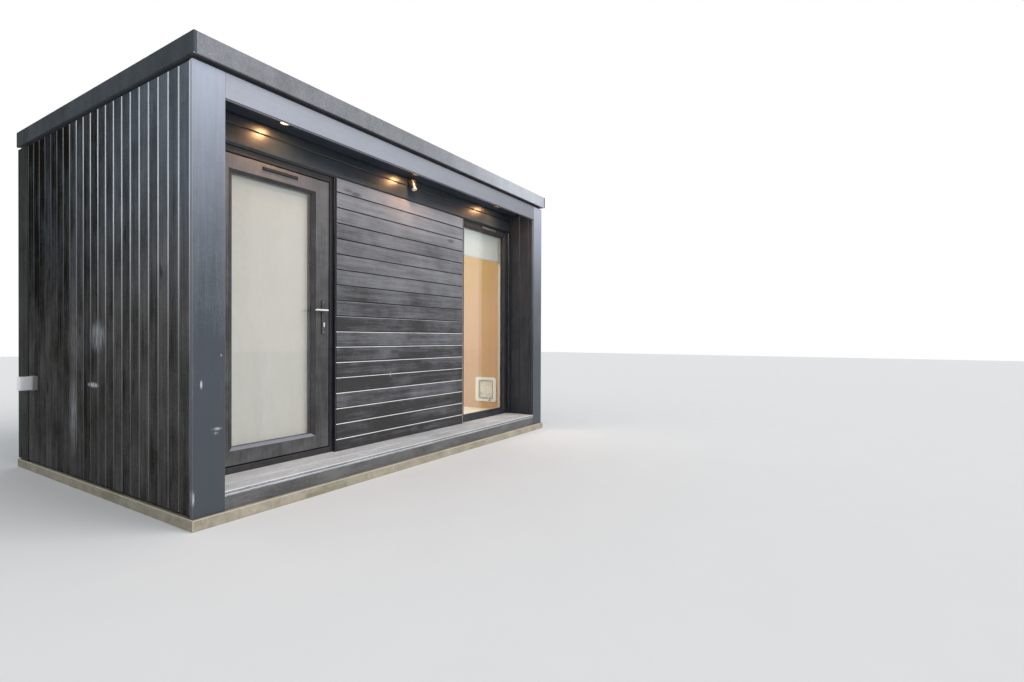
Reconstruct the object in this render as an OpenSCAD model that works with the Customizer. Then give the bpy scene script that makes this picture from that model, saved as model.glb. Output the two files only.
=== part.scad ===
// Garden office pod: a small flat-roofed timber building on a concrete base. Its front is
// recessed under a portal of two posts and a fascia, with a shallow step, a glazed door
// and a full-height window.
// Inside the modules x runs from the left face, y from the front face of the posts,
// and z from the top of the concrete base.

/* [Body] */
// Width over the cladding of the two sides
body_w = 3700; // [3600:10:4600]
// Depth from the front of the posts to the back cladding
body_d = 2525; // [2200:5:3400]
// Thickness of a wall panel with its inner lining
wall_t = 130; // [100:5:160]
// Thickness of the outer cladding
clad_t = 20; // [14:1:26]
// Height of the door and window heads above the base
head_h = 2100; // [1900:5:2300]
// Height of the walls and posts above those heads
header_h = 260; // [250:5:500]
// Height of the floor above the base
floor_h = 125; // [110:5:150]
// Width of a corner board at the back, on each face
corner_w = 190; // [100:5:260]
// How far a corner board stands proud of the cladding
corner_proud = 3; // [1:0.5:6]

/* [Base] */
// Height of the concrete base that shows
base_h = 60; // [40:5:150]
// How far the base stands out at the front
base_front = 20; // [0:1:30]
// How far the base stands out at the sides and the back
base_side = 8; // [0:1:10]
// Gap between the base and the lower edge of the side cladding
clad_lift = 10; // [5:1:30]

/* [Portal] */
// Depth of the recess from the posts to the front cladding
recess = 295; // [200:5:500]
// Thickness of the post boards and the fascia board
front_board_t = 25; // [18:1:35]
// Height of the fascia board
fascia_h = 139; // [110:1:180]
// How far the soffit lies above the lower edge of the fascia
soffit_rise = 64; // [30:1:90]
// Thickness of the soffit board
soffit_t = 20; // [12:1:25]

/* [Roof] */
// Height of the shadow gap between the walls and the roof trim
shadow_gap = 22; // [15:1:50]
// Depth of the shadow gap behind the post boards
gap_depth = 25; // [10:1:40]
// Height of the face of the roof trim
trim_h = 108; // [90:1:160]
// How far the roof trim stands out at the front
trim_out = 35; // [20:1:60]
// How far the roof trim stands out at the sides and the back
trim_side = 10; // [8:1:40]
// Thickness of the trim sheet
trim_t = 3; // [2:0.5:5]
// Width of the top flange of the trim
flange_w = 70; // [50:5:120]
// Width of the lap that the side trims fold round each front corner
lap_w = 15; // [10:1:40]
// Thickness of that lap
lap_t = 1.5; // [1:0.5:3]
// Fall of the roof from front to back
roof_fall = 25; // [10:1:35]
// Height of the trim's kerb over the front edge of the roof sheet
kerb_h = 12; // [8:1:20]
// Thickness of the rubber roof sheet
sheet_t = 4; // [2:0.5:6]

/* [Step] */
// Height of the step above the base
deck_h = 105; // [90:1:109]
// Thickness of the deck board
deck_t = 30; // [22:1:40]
// Height of the groove along the front edge of the deck board
deck_groove = 8; // [4:1:10]
// Depth of that groove
deck_groove_d = 10; // [5:1:20]
// How far the riser stands back from the deck edge
riser_back = 5; // [3:1:20]
// Thickness of the riser board
riser_t = 20; // [15:1:30]

/* [Door] */
// Distance of the door frame from the left face
door_x = 227; // [222:1:400]
// Width of the door frame
door_w = 913; // [800:1:1100]
// How far the frames stand back from the cladding face
set_back = 30; // [25:1:60]
// Depth of the door frame
door_frame_d = 80; // [75:1:90]
// Width of the jamb beside the leaf
jamb_face = 27; // [20:1:40]
// Height of the head and sill before the leaf
head_face = 40; // [30:1:50]
// Gap round the leaf
door_gap = 8; // [7:1:12]
// Gap between the leaf and the stop lip
stop_gap = 6; // [5:1:8]
// Thickness of the leaf
leaf_t = 58; // [50:1:64]
// Width of a leaf stile with its bead
stile_w = 138; // [110:1:150]
// Height of a leaf rail with its bead
rail_w = 110; // [95:1:140]
// Thickness of the glazing units
glass_t = 24; // [20:1:28]
// Depth of the glass face behind the leaf face
glass_back = 18; // [12:1:22]

/* [Window] */
// Distance of the window frame from the right face
window_right = 200; // [185:5:400]
// Width of the window frame
window_w = 840; // [600:5:1200]
// Depth of the window frame
window_frame_d = 70; // [60:1:85]
// Width of a window jamb
window_side = 72; // [60:1:90]
// Height of the window head and sill
window_rail = 65; // [55:1:90]

/* [Handle and hinges] */
// Distance of the spindle from the lock edge of the leaf
backset = 50; // [45:1:58]
// Height of the spindle above the base
spindle_z = 1127; // [950:1:1250]
// Distance from the spindle to the lock cylinder
lock_drop = 92; // [70:1:92]
// Height of a handle plate
plate_h = 243; // [230:1:280]
// Width of a handle plate
plate_w = 32; // [30:1:40]
// Thickness of a handle plate
plate_t = 8; // [6:1:10]
// Length of the lever from the spindle
lever_l = 106; // [90:1:130]
// Distance of the lever's middle from the leaf
lever_out = 45; // [36:1:55]
// Height of the lever bar
lever_h = 18; // [16:1:22]
// Thickness of the lever bar
lever_t = 10; // [8:1:14]
// Radius of the round neck of the lever
neck_r = 9; // [8:0.5:10]
// Side of the square spindle
spindle_s = 8; // [7:1:9]
// Radius of a hinge barrel
barrel_r = 8; // [7:0.5:9]
// Radius of a hinge pin
pin_r = 4; // [3:0.5:5]
// Length of a hinge barrel
barrel_l = 96; // [75:3:120]
// Distance of the outer hinges from the ends of the leaf
hinge_inset = 180; // [120:10:350]

/* [Fittings] */
// Width of a trickle vent
vent_w = 252; // [200:1:350]
// Distance of the door's vent from the middle of the leaf
door_vent_shift = 35; // [0:5:60]
// Distance of the window's vent from the middle of the window
window_vent_shift = 55; // [0:5:60]
// Height of a trickle vent
vent_h = 22; // [16:1:28]
// How far a trickle vent stands out
vent_out = 11; // [8:1:18]
// Distance between the soffit lamps
lamp_pitch = 1210; // [900:10:1250]
// Distance of the soffit lamps from the front face
lamp_y = 160; // [120:1:180]
// Radius of a soffit lamp's rim
lamp_r = 40; // [35:1:45]
// Radius of a soffit lamp's lens
lens_r = 30; // [20:1:32]
// Distance of the motion sensor's middle from the left face
sensor_x = 1897; // [1750:1:1950]
// Width of the sensor's wall plate
sensor_w = 48; // [40:1:55]
// Height of the sensor's wall plate
sensor_h = 64; // [55:1:70]
// Radius of the sensor's head
sensor_r = 28; // [24:0.5:32]
// Length of the sensor's head
sensor_l = 80; // [70:1:90]
// Lean of the sensor's head, out at its foot
sensor_lean = 20; // [5:1:25]
// Distance of the roller blind's cloth from the window frame
blind_y = 25; // [22:1:28]
// Drop of the blind's cloth below the head
blind_drop = 315; // [150:5:1500]
// Height of the cassette of the door's blind
cassette_h = 40; // [30:1:60]
// Depth of that cassette
cassette_d = 30; // [24:1:36]
// Lap of the door's blind over the stiles and rails
blind_lap = 18; // [10:1:30]
// Radius of the blind's roller
roller_r = 17; // [14:1:18]
// Height of the supply box above the base
box_z = 548; // [300:1:1200]
// Distance of the supply box from the back face
box_back = 325; // [280:5:600]
// Length of the supply box along the wall
box_l = 68; // [60:1:150]
// Height of the supply box
box_h = 100; // [80:1:150]
// Depth of the supply box's base
box_base_d = 30; // [20:1:40]
// Depth of the supply box's cover
box_cover_d = 70; // [40:1:80]

/* [Pet flap] */
// Distance of the middle of the flap from the front face
flap_y = 637; // [620:1:1200]
// Height of the middle of the flap above the base
flap_z = 346; // [320:1:500]
// Width of the flap's frame
flap_frame_w = 290; // [250:1:320]
// Height of the flap's frame
flap_frame_h = 280; // [255:1:320]
// Width of the passage
passage_w = 186; // [150:1:210]
// Height of the passage
passage_h = 200; // [160:1:220]
// Thickness of the passage's walls and its two frames
flap_wall = 10; // [8:1:14]
// Gap round the flap
flap_gap = 6; // [5:1:8]
// Thickness of the flap
flap_t = 5; // [4:1:8]
// Radius of the flap's hinge pins
flap_pin_r = 2.5; // [2:0.5:3]

/* [Hidden] */
$fn = 48;
wall_h = head_h + header_h;
post_w = wall_t + 2 * clad_t;
inner = wall_t + clad_t;
room_front = recess + inner;
frame_y = recess + set_back;
soffit_z = wall_h - fascia_h + soffit_rise;
trim_z = wall_h + shadow_gap;
roof_z = trim_z + trim_h;
edge_front = trim_out - trim_t - lap_t;
edge_side = trim_side - trim_t - lap_t;
door_r = door_x + door_w;
window_r = body_w - window_right;
window_x = window_r - window_w;
opening_h = head_h - deck_h;
leaf_x = door_x + jamb_face + door_gap;
leaf_w = door_w - 2 * (jamb_face + door_gap);
leaf_z = deck_h + head_face + door_gap;
leaf_h = opening_h - 2 * (head_face + door_gap);
stop_y = leaf_t + stop_gap;
bead_share = 0.8;
glass_share = 0.85;
fit = 0.05;
seat = 0.3;
blind_t = 1.5;
black_wood = [0.10, 0.11, 0.13];
trim_grey = [0.28, 0.29, 0.31];
frame_black = [0.14, 0.13, 0.13];
lining_tan = [0.78, 0.58, 0.40];
glass_grey = [0.80, 0.80, 0.78];
fitting_white = [0.92, 0.92, 0.90];
steel = [0.70, 0.70, 0.72];

// Moves plan coordinates into the part's frame, with the origin under the middle of the base.
module place() translate([-body_w / 2, -body_d / 2, base_h]) children();

// A box between two opposite corners.
module slab(a, b) translate(a) cube(b - a);

// Mirrors its children about a plane through the origin when on is true.
module flip(on, normal) {
    if (on) mirror(normal) children();
    else children();
}

// A rectangle with round corners, centred, standing in XZ and reaching from y to y + t.
module round_plate(w, h, r, t) {
    translate([0, t, 0]) rotate([90, 0, 0]) linear_extrude(t) {
        square([w - 2 * r, h], center = true);
        square([w, h - 2 * r], center = true);
        for (sx = [-1, 1], sz = [-1, 1]) translate([sx * (w / 2 - r), sz * (h / 2 - r)]) circle(r);
    }
}

// A mitred rectangular frame w by h in XZ, from y = 0 backwards. Each profile point is
// [share of the member's width from the outer edge, depth].
module ring(w, h, side, rail, profile, depth) {
    for (far = [false, true]) {
        translate([far ? w : 0, 0, 0]) flip(far, [1, 0, 0]) intersection() {
            linear_extrude(h) polygon([for (p = profile) [p[0] * side, p[1]]]);
            wedge([[0, 0], [side, rail], [side, h - rail], [0, h]], depth);
        }
        translate([0, 0, far ? h : 0]) flip(far, [0, 0, 1]) intersection() {
            rotate([90, 0, 90]) linear_extrude(w) polygon([for (p = profile) [p[1], p[0] * rail]]);
            wedge([[0, 0], [w, 0], [w - side, rail], [side, rail]], depth);
        }
    }
}

// The stretch of a frame that one member holds, cut by the mitres at its ends.
module wedge(outline, depth) translate([0, depth, 0]) rotate([90, 0, 0]) linear_extrude(depth) polygon(outline);

module base_slab() color([0.62, 0.59, 0.54]) place()
    slab([-base_side, -base_front, -base_h], [body_w + base_side, body_d + base_side, 0]);

// The floor fills the room and reaches forward under the door and the window.
module floor() color([0.86, 0.82, 0.76]) place() {
    slab([inner, room_front, 0], [body_w - inner, body_d - inner, floor_h]);
    slab([door_x, recess + clad_t, 0], [door_r, room_front, deck_h]);
    slab([window_x, recess + clad_t, 0], [window_r, room_front, deck_h]);
}

module left_wall() color(lining_tan) place()
    slab([clad_t, front_board_t, 0], [inner, body_d - clad_t, wall_h]);

module right_wall() color(lining_tan) place() difference() {
    slab([body_w - inner, front_board_t, 0], [body_w - clad_t, body_d - clad_t, wall_h]);
    flap_hole();
}

// The hole that the pet flap's passage fills in the right wall and its cladding.
module flap_hole() {
    half_w = passage_w / 2 + flap_wall;
    half_h = passage_h / 2 + flap_wall;
    slab([body_w - inner - 1, flap_y - half_w, flap_z - half_h], [body_w + 1, flap_y + half_w, flap_z + half_h]);
}

module back_wall() color(lining_tan) place()
    slab([inner, body_d - inner, 0], [body_w - inner, body_d - clad_t, wall_h]);

// The front wall left of the door, between the door and the window, and right of the window.
module front_wall_piers() color(lining_tan) place() {
    slab([inner, recess + clad_t, 0], [door_x, room_front, head_h]);
    slab([door_r, recess + clad_t, 0], [window_x, room_front, head_h]);
    slab([window_r, recess + clad_t, 0], [body_w - inner, room_front, head_h]);
}

module front_wall_head() color(lining_tan) place()
    slab([inner, recess + clad_t, head_h], [body_w - inner, room_front, wall_h]);

module post_boards() color(black_wood) place() {
    slab([0, 0, 0], [post_w, front_board_t, wall_h]);
    slab([body_w - post_w, 0, 0], [body_w, front_board_t, wall_h]);
}

module fascia_board() color(black_wood) place()
    slab([post_w, 0, wall_h - fascia_h], [body_w - post_w, front_board_t, wall_h]);

// Places its children at each soffit lamp, on the underside of the soffit.
module at_lamps() for (i = [-1:1]) translate([body_w / 2 + i * lamp_pitch, lamp_y, soffit_z]) children();

module soffit() color(black_wood) place() difference() {
    slab([post_w, front_board_t, soffit_z], [body_w - post_w, recess, soffit_z + soffit_t]);
    at_lamps() translate([0, 0, -1]) cylinder(r = lens_r + 4, h = soffit_t + 2);
}

// The roof panel: a narrow foot that leaves the shadow gap, and a deck behind the trim
// whose top falls to the back.
module roof_panel() color([0.16, 0.16, 0.17]) place() {
    slab([gap_depth, gap_depth, wall_h], [body_w - gap_depth, body_d - gap_depth, trim_z]);
    top = roof_z - kerb_h - sheet_t;
    translate([-edge_side, 0, 0]) rotate([90, 0, 90]) linear_extrude(body_w + 2 * edge_side)
        polygon([[-edge_front, trim_z], [body_d + edge_side, trim_z], [body_d + edge_side, top - roof_fall], [-edge_front, top]]);
}

module roof_sheet() color([0.13, 0.13, 0.14]) place() {
    top = roof_z - kerb_h;
    back = body_d + edge_side;
    translate([-edge_side, 0, 0]) rotate([90, 0, 90]) linear_extrude(body_w + 2 * edge_side)
        polygon([[-edge_front, top - sheet_t], [back, top - sheet_t - roof_fall], [back, top - roof_fall], [-edge_front, top]]);
}

// Section of a kerbed trim, [out of the wall, height]: a face with a drip lip, a raised
// kerb and a flange that comes down to the roof sheet.
function kerb_section(face) = [[-face, trim_z - trim_t], [-face + 12, trim_z - trim_t], [-face + 12, trim_z],
    [-face + trim_t, trim_z], [-face + trim_t, roof_z - trim_t], [-face + flange_w, roof_z - trim_t],
    [-face + flange_w, roof_z], [-face, roof_z]];

module roof_trim_front() color(trim_grey) place() {
    side = trim_side - lap_t;
    translate([-side, 0, 0]) rotate([90, 0, 90]) linear_extrude(body_w + 2 * side) polygon(kerb_section(trim_out - lap_t));
}

// One side trim with its lap round the front corner, drawn on the left.
module side_trim() {
    start = -trim_out + lap_t + flange_w;
    back = body_d + trim_side;
    translate([0, back, 0]) rotate([90, 0, 0]) linear_extrude(back - start) polygon(kerb_section(trim_side));
    slab([-trim_side, -trim_out, trim_z - trim_t], [-trim_side + lap_t, start, roof_z]);
    slab([-trim_side, -trim_out, trim_z - trim_t], [-trim_side + lap_w, -trim_out + lap_t, roof_z]);
}

module roof_trim_sides() color(trim_grey) place() {
    side_trim();
    translate([body_w, 0, 0]) mirror([1, 0, 0]) side_trim();
}

// The back trim lies lower, so that the roof drains over it.
module roof_trim_back() color(trim_grey) place() {
    side = trim_side - trim_t;
    top = roof_z - kerb_h - roof_fall;
    face = body_d + trim_side;
    translate([-side, 0, 0]) rotate([90, 0, 90]) linear_extrude(body_w + 2 * side)
        polygon([[face, trim_z], [face, top], [face - trim_t, top], [face - trim_t, trim_z]]);
}

module left_cladding() color(black_wood) place()
    slab([0, front_board_t, clad_lift], [clad_t, body_d - corner_w, wall_h]);

module right_cladding() color(black_wood) place() difference() {
    slab([body_w - clad_t, front_board_t, clad_lift], [body_w, body_d - corner_w, wall_h]);
    flap_hole();
}

module back_cladding() color(black_wood) place()
    slab([corner_w, body_d - clad_t, clad_lift], [body_w - corner_w, body_d, wall_h]);

// The front cladding, cut out round the door and the window.
module front_cladding() color(black_wood) place() difference() {
    slab([post_w, recess, deck_h], [body_w - post_w, recess + clad_t, soffit_z]);
    slab([door_x, recess - 1, 0], [door_r, recess + clad_t + 1, head_h]);
    slab([window_x, recess - 1, 0], [window_r, recess + clad_t + 1, head_h]);
}

// Cladding on the inner faces of the portal.
module reveal_cladding() color(black_wood) place() {
    slab([inner, front_board_t, deck_h], [post_w, recess, soffit_z]);
    slab([body_w - post_w, front_board_t, deck_h], [body_w - inner, recess, soffit_z]);
}

// One back corner: a board on the side and a board on the back, drawn on the left.
module corner_pair() {
    translate([0, 0, clad_lift]) linear_extrude(wall_h - clad_lift) polygon([
        [-corner_proud, body_d - corner_w], [clad_t, body_d - corner_w], [clad_t, body_d - clad_t],
        [corner_w, body_d - clad_t], [corner_w, body_d + corner_proud], [-corner_proud, body_d + corner_proud]]);
}

module corner_boards() color(black_wood) place() {
    corner_pair();
    translate([body_w, 0, 0]) mirror([1, 0, 0]) corner_pair();
}

// The deck board, with a clip groove along its front edge.
module deck_board() color([0.62, 0.63, 0.65]) place() difference() {
    slab([post_w, 0, deck_h - deck_t], [body_w - post_w, recess + clad_t, deck_h]);
    mid = deck_h - deck_t / 2;
    slab([post_w - 1, -1, mid - deck_groove / 2], [body_w - post_w + 1, deck_groove_d, mid + deck_groove / 2]);
}

module step_riser() color([0.30, 0.31, 0.31]) place()
    slab([post_w, riser_back, 0], [body_w - post_w, riser_back + riser_t, deck_h - deck_t]);

// The outer door frame, half of it the lip that the leaf closes against.
module door_frame() color(frame_black) place() translate([door_x, frame_y, deck_h]) {
    ring(door_w, opening_h, 2 * jamb_face, 2 * head_face,
        [[0, 0], [0.44, 0], [0.5, 2], [0.5, stop_y], [1, stop_y], [1, door_frame_d], [0, door_frame_d]], door_frame_d);
}

// The leaf: stiles and rails with a rebate for the glass, bored for the spindle.
module door_leaf() color(frame_black) place() difference() {
    translate([leaf_x, frame_y, leaf_z]) ring(leaf_w, leaf_h, stile_w, rail_w,
        [[0, 3], [0.025, 0], [bead_share, 0], [bead_share, glass_back + glass_t], [1, glass_back + glass_t + 4], [1, leaf_t], [0, leaf_t]], leaf_t);
    at_spindle() rotate([-90, 0, 0]) translate([0, 0, -1]) cylinder(r = spindle_s * 0.7 + 6, h = leaf_t + 2);
}

// The bevelled beads that hold the glass from outside.
module door_beads() color(frame_black) place() translate([leaf_x, frame_y, leaf_z])
    ring(leaf_w, leaf_h, stile_w, rail_w,
        [[bead_share, 1], [bead_share + 0.02, 0], [0.97, glass_back - 5], [1, glass_back - 3], [1, glass_back], [bead_share, glass_back]], leaf_t);

module door_glass() color(glass_grey) place() translate([leaf_x, frame_y + glass_back, leaf_z])
    slab([stile_w * glass_share, 0, rail_w * glass_share], [leaf_w - stile_w * glass_share, glass_t, leaf_h - rail_w * glass_share]);

// The blind on the inside of the leaf, fully lowered: a cassette, the cloth and its bottom bar.
module door_blind() color([0.86, 0.84, 0.80]) place() translate([leaf_x, frame_y + leaf_t, leaf_z]) {
    low = rail_w - blind_lap;
    high = leaf_h - rail_w + blind_lap;
    side = stile_w - blind_lap;
    slab([side, 0, high - cassette_h], [leaf_w - side, cassette_d, high]);
    slab([side, 0, low], [leaf_w - side, blind_t, high - cassette_h]);
    slab([side, 0, low], [leaf_w - side, cassette_d / 2, low + cassette_h / 2]);
}

// A trickle vent: a slim hood whose lower edge is undercut, drawn round its middle.
module vent() rotate([90, 0, 90]) translate([0, 0, -vent_w / 2]) linear_extrude(vent_w)
    polygon([[0, vent_h / 2], [-vent_out * 0.5, vent_h / 2], [-vent_out, vent_h / 2 - 5], [-vent_out, 2 - vent_h / 2],
        [-vent_out + 3, 2 - vent_h / 2], [-vent_out + 3, 5 - vent_h / 2], [-3, 5 - vent_h / 2], [-3, -vent_h / 2], [0, -vent_h / 2]]);

module door_vent() color([0.2, 0.2, 0.2]) place()
    translate([leaf_x + leaf_w / 2 + door_vent_shift, frame_y, leaf_z + leaf_h - rail_w * bead_share * 0.4]) vent();

// The point on the face of the leaf where the spindle passes.
module at_spindle() translate([leaf_x + leaf_w - backset, frame_y, spindle_z]) children();

// A handle plate with its neck bore and the lock cylinder, facing -y from y = 0.
module handle_plate() difference() {
    union() {
        translate([0, -plate_t, -lock_drop / 2]) round_plate(plate_w, plate_h, plate_w / 4, plate_t);
        translate([0, 1 - plate_t, -lock_drop]) rotate([90, 0, 0]) cylinder(r = 8.5, h = 5);
        slab([-5, -plate_t - 4, -lock_drop - 24], [5, 1 - plate_t, -lock_drop]);
    }
    rotate([90, 0, 0]) translate([0, 0, -1]) cylinder(r = neck_r + fit, h = plate_t + 2);
}

module door_plates() color([0.16, 0.15, 0.15]) place() at_spindle() {
    handle_plate();
    translate([0, leaf_t, 0]) mirror([0, 1, 0]) handle_plate();
}

// One lever: a round neck and a flat bar with round ends that runs towards the hinges.
module lever() {
    rotate([90, 0, 0]) cylinder(r = neck_r, h = lever_out + lever_t / 4);
    bar_y = -lever_out - lever_t / 2;
    translate([neck_r - lever_l / 2, bar_y, 0]) round_plate(lever_l, lever_h, lever_h / 2 - 1, lever_t);
}

module door_lever() color(steel) place() at_spindle() {
    lever();
    translate([0, leaf_t, 0]) mirror([0, 1, 0]) lever();
    slab([-spindle_s / 2, -1, -spindle_s / 2], [spindle_s / 2, leaf_t + 1, spindle_s / 2]);
}

// Places its children at the middle of each hinge, on the hinge axis.
module at_hinges() {
    low = leaf_z + hinge_inset;
    high = leaf_z + leaf_h - hinge_inset;
    for (z = [low, (low + high) / 2, high]) translate([leaf_x - door_gap / 2, frame_y - barrel_r, z]) children();
}

// A flap of a hinge plate, from the barrel to the face it is screwed to.
module hinge_flap(side, half_l) {
    w = side < 0 ? jamb_face - 2 : 28;
    x = side * door_gap / 2;
    slab([min(x, x + side * w), barrel_r - 3, -half_l], [max(x, x + side * w), barrel_r, half_l]);
}

module hinge_frame_knuckles() color(steel) place() at_hinges() {
    third = barrel_l / 3;
    difference() {
        union() {
            for (z = [-1.5 * third, third / 2 + 0.5]) translate([0, 0, z]) cylinder(r = barrel_r, h = third - 0.5);
            hinge_flap(-1, 1.5 * third);
            for (z = [-1.5 * third, third / 2 + 0.5]) slab([-door_gap / 2 - 1, barrel_r - 3, z], [0, barrel_r, z + third - 0.5]);
        }
        translate([0, 0, -third / 2 - 0.5]) cylinder(r = barrel_r + 1, h = third + 1);
    }
    translate([0, 0, -1.5 * third]) cylinder(r = pin_r, h = barrel_l);
}

module hinge_leaf_knuckles() color(steel) place() at_hinges() {
    third = barrel_l / 3;
    difference() {
        union() {
            translate([0, 0, -third / 2]) cylinder(r = barrel_r, h = third);
            slab([0, barrel_r - 3, -third / 2], [door_gap / 2 + 1, barrel_r, third / 2]);
            difference() {
                hinge_flap(1, 1.5 * third);
                for (z = [-2 * third, third / 2]) translate([0, 0, z]) cylinder(r = barrel_r + 1, h = 1.5 * third);
            }
        }
        translate([0, 0, -third]) cylinder(r = pin_r + fit, h = 2 * third);
    }
}

// The window frame, glazed from outside, with its beads in one section.
module window_frame() color(frame_black) place() translate([window_x, frame_y, deck_h])
    ring(window_w, opening_h, window_side, window_rail,
        [[0, 0], [0.64, 0], [0.68, 3], [0.97, glass_back - 5], [1, glass_back - 3], [1, glass_back], [0.7, glass_back],
            [0.7, glass_back + glass_t], [1, glass_back + glass_t], [1, window_frame_d], [0, window_frame_d]], window_frame_d);

module window_glass() color(glass_grey) place() translate([window_x, frame_y + glass_back, deck_h])
    slab([window_side * glass_share, 0, window_rail * glass_share], [window_w - window_side * glass_share, glass_t, opening_h - window_rail * glass_share]);

module window_vent() color([0.8, 0.8, 0.8]) place()
    translate([window_x + window_w / 2 + window_vent_shift, frame_y, head_h - window_rail * 0.34]) vent();

// The blind's roller between two brackets in the window reveal.
module blind_roller() color(fitting_white) place() {
    y = frame_y + window_frame_d + blind_y;
    z = head_h - roller_r - 6;
    translate([window_x + 6, y, z]) rotate([0, 90, 0]) cylinder(r = roller_r, h = window_w - 12);
    for (x = [window_x, window_r - 8]) slab([x, y - roller_r - 3, head_h - 2 * roller_r - 8], [x + 8, y + roller_r + 3, head_h]);
}

// The lowered cloth, hung behind the roller, with its bottom bar.
module blind_cloth() color([0.90, 0.90, 0.86]) place() {
    y = frame_y + window_frame_d + blind_y - roller_r - seat;
    slab([window_x + 16, y - blind_t, head_h - blind_drop], [window_r - 16, y, head_h - roller_r - 6]);
    slab([window_x + 16, y - 5, head_h - blind_drop - 16], [window_r - 16, y + 3, head_h - blind_drop]);
}

module lamp_rims() color(steel) place() at_lamps() difference() {
    union() {
        translate([0, 0, -3]) cylinder(r = lamp_r, h = 3);
        translate([0, 0, -1]) cylinder(r = lens_r + 4, h = soffit_t + 1);
    }
    translate([0, 0, -4]) cylinder(r = lens_r, h = soffit_t + 5);
}

module lamp_lenses() color([1, 0.85, 0.6]) place() at_lamps() translate([0, 0, 2]) cylinder(r = lens_r - fit, h = 8);

// The head of the sensor hangs from this point and leans out at its foot.
module at_sensor() translate([sensor_x, recess - sensor_r - 9, soffit_z - 22]) rotate([-sensor_lean, 0, 0]) children();

// The motion sensor: a wall plate, an arm and a ribbed round head.
module sensor_body() color([0.12, 0.12, 0.12]) place() {
    translate([sensor_x, recess, soffit_z - 8 - sensor_h]) {
        slab([-sensor_w / 2, -7, 0], [sensor_w / 2, 0, sensor_h]);
        slab([-sensor_w / 5, -sensor_r, sensor_h * 0.2], [sensor_w / 5, -6, sensor_h * 0.6]);
    }
    at_sensor() rotate_extrude() polygon([[0, 0], [0.7 * sensor_r, 0], [0.95 * sensor_r, -0.07 * sensor_l],
        [0.95 * sensor_r, -0.42 * sensor_l], [0.87 * sensor_r, -0.45 * sensor_l], [0.87 * sensor_r, -0.49 * sensor_l],
        [sensor_r, -0.52 * sensor_l], [sensor_r, -0.8 * sensor_l], [0.92 * sensor_r, -0.83 * sensor_l],
        [0.92 * sensor_r, -sensor_l], [0, -sensor_l]]);
}

// The domed lens under the sensor's head.
module sensor_lens() color(fitting_white) place() at_sensor() translate([0, 0, -sensor_l])
    rotate_extrude() polygon([[0, 0], for (a = [0:10:80]) [0.84 * sensor_r * cos(a), -0.55 * sensor_r * sin(a)],
        [0, -0.55 * sensor_r]]);

// The supply box: a grey base on the side cladding and a white cover.
module supply_box() color([0.75, 0.75, 0.75]) place() translate([0, body_d - box_back - box_l, box_z]) {
    slab([-box_base_d, 0, 0], [0, box_l, box_h]);
    slab([-box_base_d - box_cover_d, 1.5, 1.5], [-box_base_d, box_l - 1.5, box_h - 1.5]);
}

// Places its children at the middle of the passage, on the inner face of the right wall.
module at_flap() translate([body_w - inner, flap_y, flap_z]) children();

// A frame of the flap, standing in YZ with its face towards -x.
module flap_flange() rotate([0, 0, -90]) translate([0, -flap_wall, 0]) round_plate(flap_frame_w, flap_frame_h, 18, flap_wall);

module pet_flap_frame() color(fitting_white) place() at_flap() difference() {
    union() {
        flap_flange();
        translate([inner, 0, 0]) mirror([1, 0, 0]) flap_flange();
        slab([0, -passage_w / 2 - flap_wall, -passage_h / 2 - flap_wall], [inner, passage_w / 2 + flap_wall, passage_h / 2 + flap_wall]);
    }
    slab([-flap_wall - 1, -passage_w / 2, -passage_h / 2], [inner + flap_wall + 1, passage_w / 2, passage_h / 2]);
    at_flap_pin() rotate([90, 0, 0]) cylinder(r = flap_pin_r + fit, h = passage_w + 13, center = true);
}

// The axis of the flap, below the roof of the passage.
module at_flap_pin() translate([flap_t, 0, passage_h / 2 - 2 * flap_pin_r - flap_gap]) children();

module pet_flap() color([0.85, 0.86, 0.84]) place() at_flap() at_flap_pin() {
    half_w = passage_w / 2 - flap_gap;
    drop = passage_h - 2 * flap_pin_r - 2 * flap_gap;
    slab([-flap_t / 2, -half_w, -drop], [flap_t / 2, half_w, 0]);
    rotate([90, 0, 0]) cylinder(r = 2 * flap_pin_r, h = 2 * half_w, center = true);
    rotate([90, 0, 0]) cylinder(r = flap_pin_r, h = passage_w + 12, center = true);
}

base_slab();
floor();
left_wall();
right_wall();
back_wall();
front_wall_piers();
front_wall_head();
post_boards();
fascia_board();
soffit();
roof_panel();
roof_sheet();
roof_trim_front();
roof_trim_sides();
roof_trim_back();
left_cladding();
right_cladding();
back_cladding();
front_cladding();
reveal_cladding();
corner_boards();
deck_board();
step_riser();
door_frame();
door_leaf();
door_beads();
door_glass();
door_blind();
door_vent();
door_plates();
door_lever();
hinge_frame_knuckles();
hinge_leaf_knuckles();
window_frame();
window_glass();
window_vent();
blind_roller();
blind_cloth();
lamp_rims();
lamp_lenses();
sensor_body();
sensor_lens();
supply_box();
pet_flap_frame();
pet_flap();
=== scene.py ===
"""Garden office pod: boards, glass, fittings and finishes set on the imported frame."""

import logging
import math
import random
from abc import ABC, abstractmethod
from dataclasses import dataclass, field, replace
from enum import Enum
from typing import Iterable, Sequence

import bmesh
import bpy
from mathutils import Matrix, Vector


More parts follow.
